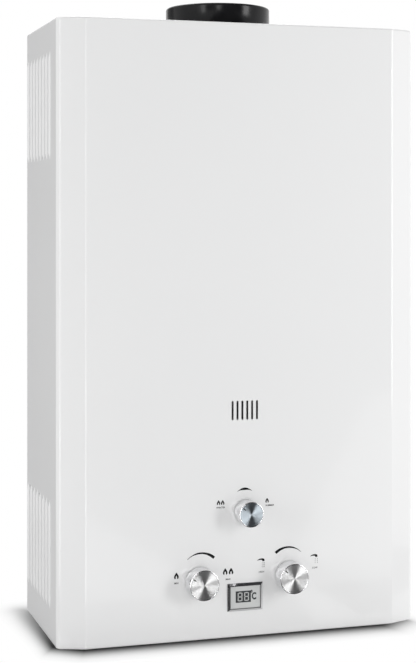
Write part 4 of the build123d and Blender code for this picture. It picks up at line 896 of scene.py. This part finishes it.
# ------------------------ printed signs on the panel
# Black screen print on the white coat: a swelling arc over each knob, flames beside the gas and
# season knobs and showers beside the water knob. The print is a thin skin on the paint.
PANEL_FRONT = -0.0735
PRINT_BACK = PANEL_FRONT - 0.00001
PRINT_THICK = 0.00006
ARC_STEPS = 40
ARC_BLANK = 0.0005
print_ink, shader, place = start_finish("screen_print_ink", (0.008, 0.008, 0.009, 1), 0.6)
shader.inputs["Specular IOR Level"].default_value = 0.15
vary_gloss(shader, add_noise(place, 700, 2), 0.5, 0.65)
tint(shader, add_noise(place, 250, 2),
     (0.3, (0.006, 0.006, 0.007)), (0.7, (0.012, 0.012, 0.013)))


def raise_print(shape, name):
    """Gives flat faces on the panel the thickness of a layer of ink."""
    bmesh.ops.recalc_face_normals(shape, faces=shape.faces)
    raise_faces(shape, list(shape.faces), (0, -PRINT_THICK, 0))
    finish_piece(shape, name, [print_ink], "heater")


def print_arc(name, left, top, right, widths):
    """An arc through three points; its width swells and thins between them."""
    (x1, z1), (x2, z2), (x3, z3) = left, top, right
    d = 2 * (x1 * (z2 - z3) + x2 * (z3 - z1) + x3 * (z1 - z2))
    s1, s2, s3 = x1 * x1 + z1 * z1, x2 * x2 + z2 * z2, x3 * x3 + z3 * z3
    cx = (s1 * (z2 - z3) + s2 * (z3 - z1) + s3 * (z1 - z2)) / d
    cz = (s1 * (x3 - x2) + s2 * (x1 - x3) + s3 * (x2 - x1)) / d
    radius = hypot(x1 - cx, z1 - cz)
    start, stop = atan2(z1 - cz, x1 - cx), atan2(z3 - cz, x3 - cx)
    shape = bmesh.new()
    ends = [
        shape.verts.new((cx + r * cos(start), PRINT_BACK, cz + r * sin(start)))
        for r in (radius - ARC_BLANK, radius + ARC_BLANK)
    ]
    line = shape.edges.new(ends)
    bmesh.ops.spin(
        shape,
        geom=[*ends, line],
        cent=(cx, PRINT_BACK, cz),
        axis=(0, 1, 0),
        angle=start - stop,
        steps=ARC_STEPS,
        use_merge=False,
        use_duplicate=False,
    )
    for v in shape.verts:
        angle = atan2(v.co.z - cz, v.co.x - cx)
        share = (start - angle) / (start - stop) * 2
        low, high = (widths[0], widths[1]) if share < 1 else (widths[1], widths[2])
        ease = (1 - cos(pi * (share if share < 1 else share - 1))) / 2
        width = low + (high - low) * ease
        side = 1 if hypot(v.co.x - cx, v.co.z - cz) > radius else -1
        reach = radius + side * width / 2
        v.co = (cx + reach * cos(angle), PRINT_BACK, cz + reach * sin(angle))
    raise_print(shape, name)


for name, left, top, right, widths in (
    ("gas_arc", (-0.0592, 0.0814), (-0.0437, 0.0870), (-0.0313, 0.0816), (0.0004, 0.0017, 0.0029)),
    ("water_arc", (0.0342, 0.0821), (0.0491, 0.0873), (0.0617, 0.0818), (0.0029, 0.0018, 0.0004)),
    ("season_arc", (-0.0066, 0.1468), (0.0015, 0.1492), (0.0088, 0.147), (0.0004, 0.0025, 0.0004)),
):
    print_arc(name, left, top, right, widths)


def print_flame(shape, x, z, size):
    """A pointed flame with a clear heart that opens at its foot, in two halves."""
    outer = [(0, 0.5), (0.14, 0.3), (0.31, 0.02), (0.37, -0.2), (0.33, -0.4), (0.22, -0.5)]
    inner = [(0.1, -0.44), (0.12, -0.28), (0.07, -0.1), (0, 0.02)]
    for half in (-size, size):
        shape.faces.new([
            shape.verts.new((x + half * a, PRINT_BACK, z + size * b)) for a, b in outer + inner
        ])
    bmesh.ops.remove_doubles(shape, verts=shape.verts, dist=MERGE_DISTANCE)


flames = bmesh.new()
LARGE_FLAME, SMALL_FLAME = 0.0066, 0.0050
for x, z, size in (
    (-0.0707, 0.0663, LARGE_FLAME),
    (-0.0196, 0.0671, LARGE_FLAME),
    (-0.02657, 0.1367, SMALL_FLAME),
    (-0.0134, 0.0671, LARGE_FLAME),
    (-0.02223, 0.1367, SMALL_FLAME),
    (0.0251, 0.1363, SMALL_FLAME),
):
    print_flame(flames, x, z, size)
raise_print(flames, "flame_signs")

DROP_SIZE = (0.0003, 0.0012)
DROP_ROWS = 3
ROW_PITCH = 0.0019
ROW_WIDTH = 0.0024
FIRST_DROP = (0.00098, -0.0006)


def print_shower(shape, x, z, drops):
    """A hand shower seen from the side: a tapering handle, a round head and rows of drops."""
    outline = [
        (-0.0046, 0.0014), (-0.0030, 0.0027), (-0.0010, 0.0034), (0.0014, 0.0036),
        (0.0032, 0.0030), (0.0037, 0.0016), (0.0034, 0.0006), (0.0012, 0.0006),
        (0.0010, 0.0018), (-0.0008, 0.0021), (-0.0028, 0.0018),
    ]
    shape.faces.new([shape.verts.new((x + a, PRINT_BACK, z + b)) for a, b in outline])
    width, length = DROP_SIZE
    for row in range(DROP_ROWS):
        for column in range(drops):
            left = x + FIRST_DROP[0] + column * ROW_WIDTH / (drops - 1)
            top = z + FIRST_DROP[1] - row * ROW_PITCH
            corners = ((0, 0), (width, 0), (width, -length), (0, -length))
            shape.faces.new([
                shape.verts.new((left + a, PRINT_BACK, top + b)) for a, b in corners
            ])


showers = bmesh.new()
print_shower(showers, 0.0187, 0.0742, drops=3)
print_shower(showers, 0.0762, 0.0747, drops=2)
raise_print(showers, "shower_signs")

WORD_HEIGHT = 0.0024
WORD_WEIGHT = 0.00003
for name, words, x, z in (
    ("least_flame_word", "MIN", -0.0707, 0.0586),
    ("most_flame_word", "MAX", -0.0165, 0.0590),
    ("hot_word", "HIGH", 0.0190, 0.0640),
    ("cool_word", "LOW", 0.0770, 0.0644),
    ("winter_word", "WINTER", -0.0244, 0.1315),
    ("summer_word", "SUMMER", 0.0280, 0.1311),
):
    mesh = upright_text(name, words, WORD_HEIGHT, x, z, PRINT_BACK - PRINT_THICK, PRINT_THICK,
                        weight=WORD_WEIGHT)
    add_piece(name, mesh, [print_ink], "heater")

# ------------------------ studio
# A pale floor that runs out into white, a tall soft light on the right, a broad one overhead,
# and one in front and one on the left that cast no highlight. Reflections alone show the cards.
DIRECT_RAYS = ("Is Camera Ray", "Is Glossy Ray")
AIR_LIGHT = 0.4


def add_light(name, where, look_at, size, power, size_y=None):
    """A soft panel light that faces a point."""
    data = bpy.data.lights.new(name, "AREA")
    data.energy = power
    data.size = size
    if size_y:
        data.shape = "RECTANGLE"
        data.size_y = size_y
    light = put_in(name, data)
    light.location = where
    light.rotation_euler = (Vector(look_at) - Vector(where)).to_track_quat("-Z", "Y").to_euler()
    return light


def work_out(operation, *given):
    """One step of arithmetic on a socket and other sockets or values; returns its result."""
    tree = given[0].id_data
    vector = given[0].type == "VECTOR"
    step = tree.nodes.new("ShaderNodeVectorMath" if vector else "ShaderNodeMath")
    step.operation = operation
    for socket, value in zip(step.inputs, given):
        if isinstance(value, bpy.types.NodeSocket):
            tree.links.new(value, socket)
        else:
            socket.default_value = value
    plain = not vector or operation in ("LENGTH", "DOT_PRODUCT")
    return step.outputs["Value" if plain else "Vector"]


def seen_by(tree, *kinds):
    """1 where one of these kinds of ray asks for the colour, and 0 for all the others."""
    paths = tree.nodes.new("ShaderNodeLightPath").outputs
    seen = paths[kinds[0]]
    for kind in kinds[1:]:
        seen = work_out("MAXIMUM", seen, paths[kind])
    return seen


add_light("soft_right", (1.5, -1.35, 0.42), (0, 0, 0.3), 0.5, 17.2, 1.4)
add_light("strip_front", (-0.2, -2.6, 0.38), (0, 0, 0.3), 0.05, 4.5, 1.0).visible_glossy = False
add_light("strip_left", (-2.2, -0.6, 0.36), (0, 0, 0.3), 0.4, 16, 1.6).visible_glossy = False
add_light("soft_top", (0, 0.9, 2.3), (0, 0.2, 0), 1.6, 25)

world = bpy.data.worlds.new("studio_air")
scene.world = world
world.use_nodes = True
air = world.node_tree
backdrop = air.nodes["Background"]
backdrop.inputs["Color"].default_value = (1, 1, 1, 1)
seen = seen_by(air, *DIRECT_RAYS, "Is Transmission Ray")
spread(seen, backdrop.inputs["Strength"], AIR_LIGHT, 1.0, 0, 1)

# The floor is a matt sheet with a painted shadow: its colour darkens close to the casing's foot,
# and it turns into an even glow a little further out. The distance is stretched beside the casing,
# most towards the front, so the painted shadow is narrower there, and from the front to the rear
# the painted shadow gets paler.
FLOOR_SIZE = 6
FLOOR_DROP = 0.0002
SHADE_INSET = 0.014
FRONT_TO_REAR = (-0.05, 0.09)
SIDE_STRETCH = (2.0, 1.3)
PAINTED_SHADOW_DARKEST = (0.03, 0.55)
PAINTED_SHADOW_REACH = (-0.004, 0.037)
SHEET_REACH = (0.0, 0.05)
FLOOR_WHITE = 0.93
FLOOR_LIGHT = 0.9
BEVEL_WIDTH = 0.027
BEVEL_ACROSS, BEVEL_ALONG = 0.6, 0.8
sweep = bmesh.new()
bmesh.ops.create_grid(
    sweep,
    x_segments=8,
    y_segments=8,
    size=FLOOR_SIZE,
    matrix=Matrix.Translation((0, 0, -FLOOR_DROP)),
)
floor_mesh = into_mesh(sweep, "studio_floor")
floor = put_in("studio_floor", floor_mesh)
pale = bpy.data.materials.new("pale_floor")
pale.use_nodes = True
tree = pale.node_tree
tree.nodes.remove(tree.nodes["Principled BSDF"])
seen = seen_by(tree, *DIRECT_RAYS)
place = tree.nodes.new("ShaderNodeTexCoord").outputs["Object"]
parts = tree.nodes.new("ShaderNodeSeparateXYZ")
tree.links.new(place, parts.inputs[0])

foot_low, foot_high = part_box("front_cover")
foot_high.x -= SHADE_INSET
foot_centre = (foot_low + foot_high) / 2
half_x = (foot_high.x - foot_low.x) / 2
half_y = (foot_high.y - foot_low.y) / 2
beyond = work_out("SUBTRACT", place, (foot_centre.x, foot_centre.y, 0))
outside = work_out("ABSOLUTE", beyond)
clear = work_out("SUBTRACT", outside, (half_x, half_y, 1))
kept = work_out("MAXIMUM", clear, (0, 0, 0))
pull = tree.nodes.new("ShaderNodeCombineXYZ")
pull.inputs["Y"].default_value = 1
pull.inputs["Z"].default_value = 1
spread(parts.outputs["Y"], pull.inputs["X"], *SIDE_STRETCH, *FRONT_TO_REAR)
narrow = work_out("MULTIPLY", kept, pull.outputs["Vector"])
straight = work_out("LENGTH", narrow)

# The front corners are cut off by the bevels, so the painted shadow under them is cut off as well.
across = work_out("DOT_PRODUCT", outside, (BEVEL_ACROSS, 0, 0))
along = work_out("DOT_PRODUCT", beyond, (0, -BEVEL_ALONG, 0))
corner_start = BEVEL_ACROSS * (half_x - BEVEL_WIDTH) + BEVEL_ALONG * half_y
slanted = work_out("SUBTRACT", work_out("ADD", across, along), corner_start)
distance = work_out("MAXIMUM", straight, slanted)

matt = tree.nodes.new("ShaderNodeBsdfDiffuse")
shade = spread(seen, matt.inputs["Color"], FLOOR_LIGHT, FLOOR_WHITE, 0, 1)
# Painted shadow: the floor colour that the lens and reflections see darkens close to the casing's
# foot.
painted_contact_shadow = spread(distance, shade.inputs["To Max"], 0, FLOOR_WHITE, *PAINTED_SHADOW_REACH)
painted_contact_shadow.interpolation_type = "SMOOTHSTEP"
spread(parts.outputs["Y"], painted_contact_shadow.inputs["To Min"], *PAINTED_SHADOW_DARKEST, *FRONT_TO_REAR)
glow = tree.nodes.new("ShaderNodeEmission")
spread(seen, glow.inputs["Strength"], FLOOR_LIGHT, 1.0, 0, 1)
blend = tree.nodes.new("ShaderNodeMixShader")
run_out = spread(distance, blend.inputs["Fac"], 0, 1, *SHEET_REACH)
run_out.interpolation_type = "SMOOTHSTEP"
tree.links.new(matt.outputs[0], blend.inputs[1])
tree.links.new(glow.outputs[0], blend.inputs[2])
tree.links.new(blend.outputs[0], tree.nodes["Material Output"].inputs["Surface"])
floor_mesh.materials.append(pale)


def card_stock(name, glow):
    """Black card, or card that gives its own even light."""
    stock, shader, place = start_finish(name, (0.02, 0.02, 0.022, 1), 0.9)
    shader.inputs["Emission Color"].default_value = (1, 1, 1, 1)
    shader.inputs["Emission Strength"].default_value = glow
    return stock


dark_card = card_stock("dark_card", 0)
grey_card = card_stock("grey_card", 0.26)
lit_card = card_stock("lit_card", 7)


def stand_card(name, corners, material=dark_card):
    """A card between its corners that only reflections show."""
    card = bmesh.new()
    card.faces.new([card.verts.new(corner) for corner in corners])
    card_mesh = into_mesh(card, name)
    card_mesh.materials.append(material)
    flag = put_in(name, card_mesh)
    flag.visible_camera = False
    flag.visible_diffuse = False
    flag.visible_shadow = False
    flag.visible_transmission = False


CARD_FLOOR = 0.002
CARD_COVER = 0.003
CARD_REACH = 0.7
CARD_WALL = -2.0
CARD_ROOF = 1.7
CARD_REAR = 0.7

# Each knob face mirrors the lens to one spot on the floor. Two black fans meet at that spot, so
# the turned rings shine in clean dark and light fans.
for name, centre, angles, near in (
    ("card_gas", GAS_CENTRE, (-58, 26), 1.0),
    ("card_water", WATER_CENTRE, (-32, 26), 1.0),
    ("card_season", SEASON_CENTRE, (-50, 45), 0.45),
    ("card_season_inner", SEASON_CENTRE, (-28, 28), 1.0),
):
    face = Vector((centre[0], KNOB_FRONT, centre[1]))
    sight = face - camera.location
    sight /= sight.y
    sight.y = -1
    reach = (face.z - CARD_FLOOR) / -sight.z
    spot = face + reach * sight
    edges = [Vector((sight.x - sight.z * tan(radians(angle)), -1, 0)) for angle in angles]
    stand_card(name + "_near", (spot, *(spot - near * reach * edge for edge in edges)))
    stand_card(name + "_far", (spot, *(spot + (spot.y - CARD_WALL) * edge for edge in edges)))

# Each fold of the left bevel mirrors a lit card, and the strip between them a dark one. Every
# card lies on the floor from the casing's foot outwards and then stands up.
for name, foot_x, foot_y, bearing, half_angle, top, material in (
    ("line_corner", -0.1885, -0.062, -43, 5, 0.8, lit_card),
    ("card_strip", -0.176, -0.068, -22, 11, 0.74, dark_card),
    ("line_fold", -0.163, -0.0735, -4, 4, 0.72, lit_card),
):
    foot = Vector((foot_x, foot_y, CARD_FLOOR))
    ways = [radians(bearing + turn) for turn in (-half_angle, half_angle)]
    far = [foot + CARD_REACH * Vector((sin(way), -cos(way), 0)) for way in ways]
    high = [corner + Vector((0, 0, top)) for corner in reversed(far)]
    stand_card(name + "_floor", (foot + Vector((0.001, 0, 0)), foot, *far), material)
    stand_card(name, (*far, *high), material)

# A dark card faces the front and another runs on from it overhead. Two lie on the floor before
# the front corners, and the gloss of the left side mirrors the grey ones.
stand_card("card_front", ((0.0, CARD_WALL, 0), (1.1, CARD_WALL, 0),
                          (1.8, CARD_WALL, CARD_ROOF), (-1.3, CARD_WALL, CARD_ROOF)))
stand_card("card_above", ((-1.3, CARD_WALL, CARD_ROOF), (1.8, CARD_WALL, CARD_ROOF),
                          (1.3, 0.4, CARD_ROOF), (-0.5, 0.4, CARD_ROOF)))
stand_card("card_left", ((-0.4, -0.24, CARD_COVER), (-0.05, -0.24, CARD_COVER),
                         (-0.05, -0.09, CARD_COVER), (-0.4, -0.09, CARD_COVER)))
stand_card("card_right", ((0.14, -0.24, CARD_COVER), (0.5, -0.28, CARD_COVER),
                          (0.5, -0.13, CARD_COVER), (0.14, -0.11, CARD_COVER)))
stand_card("card_rear", ((-0.8, CARD_REAR, 0), (-0.25, CARD_REAR, 0),
                         (-0.25, CARD_REAR, 1.0), (-0.8, CARD_REAR, 1.0)), grey_card)
stand_card("card_rear_floor",
           ((-0.8, CARD_REAR, CARD_FLOOR), (-0.6, -0.06, CARD_FLOOR),
            (-0.191, -0.06, CARD_FLOOR), (-0.191, CARD_REAR, CARD_FLOOR)), grey_card)

scene.view_settings.view_transform = "Standard"
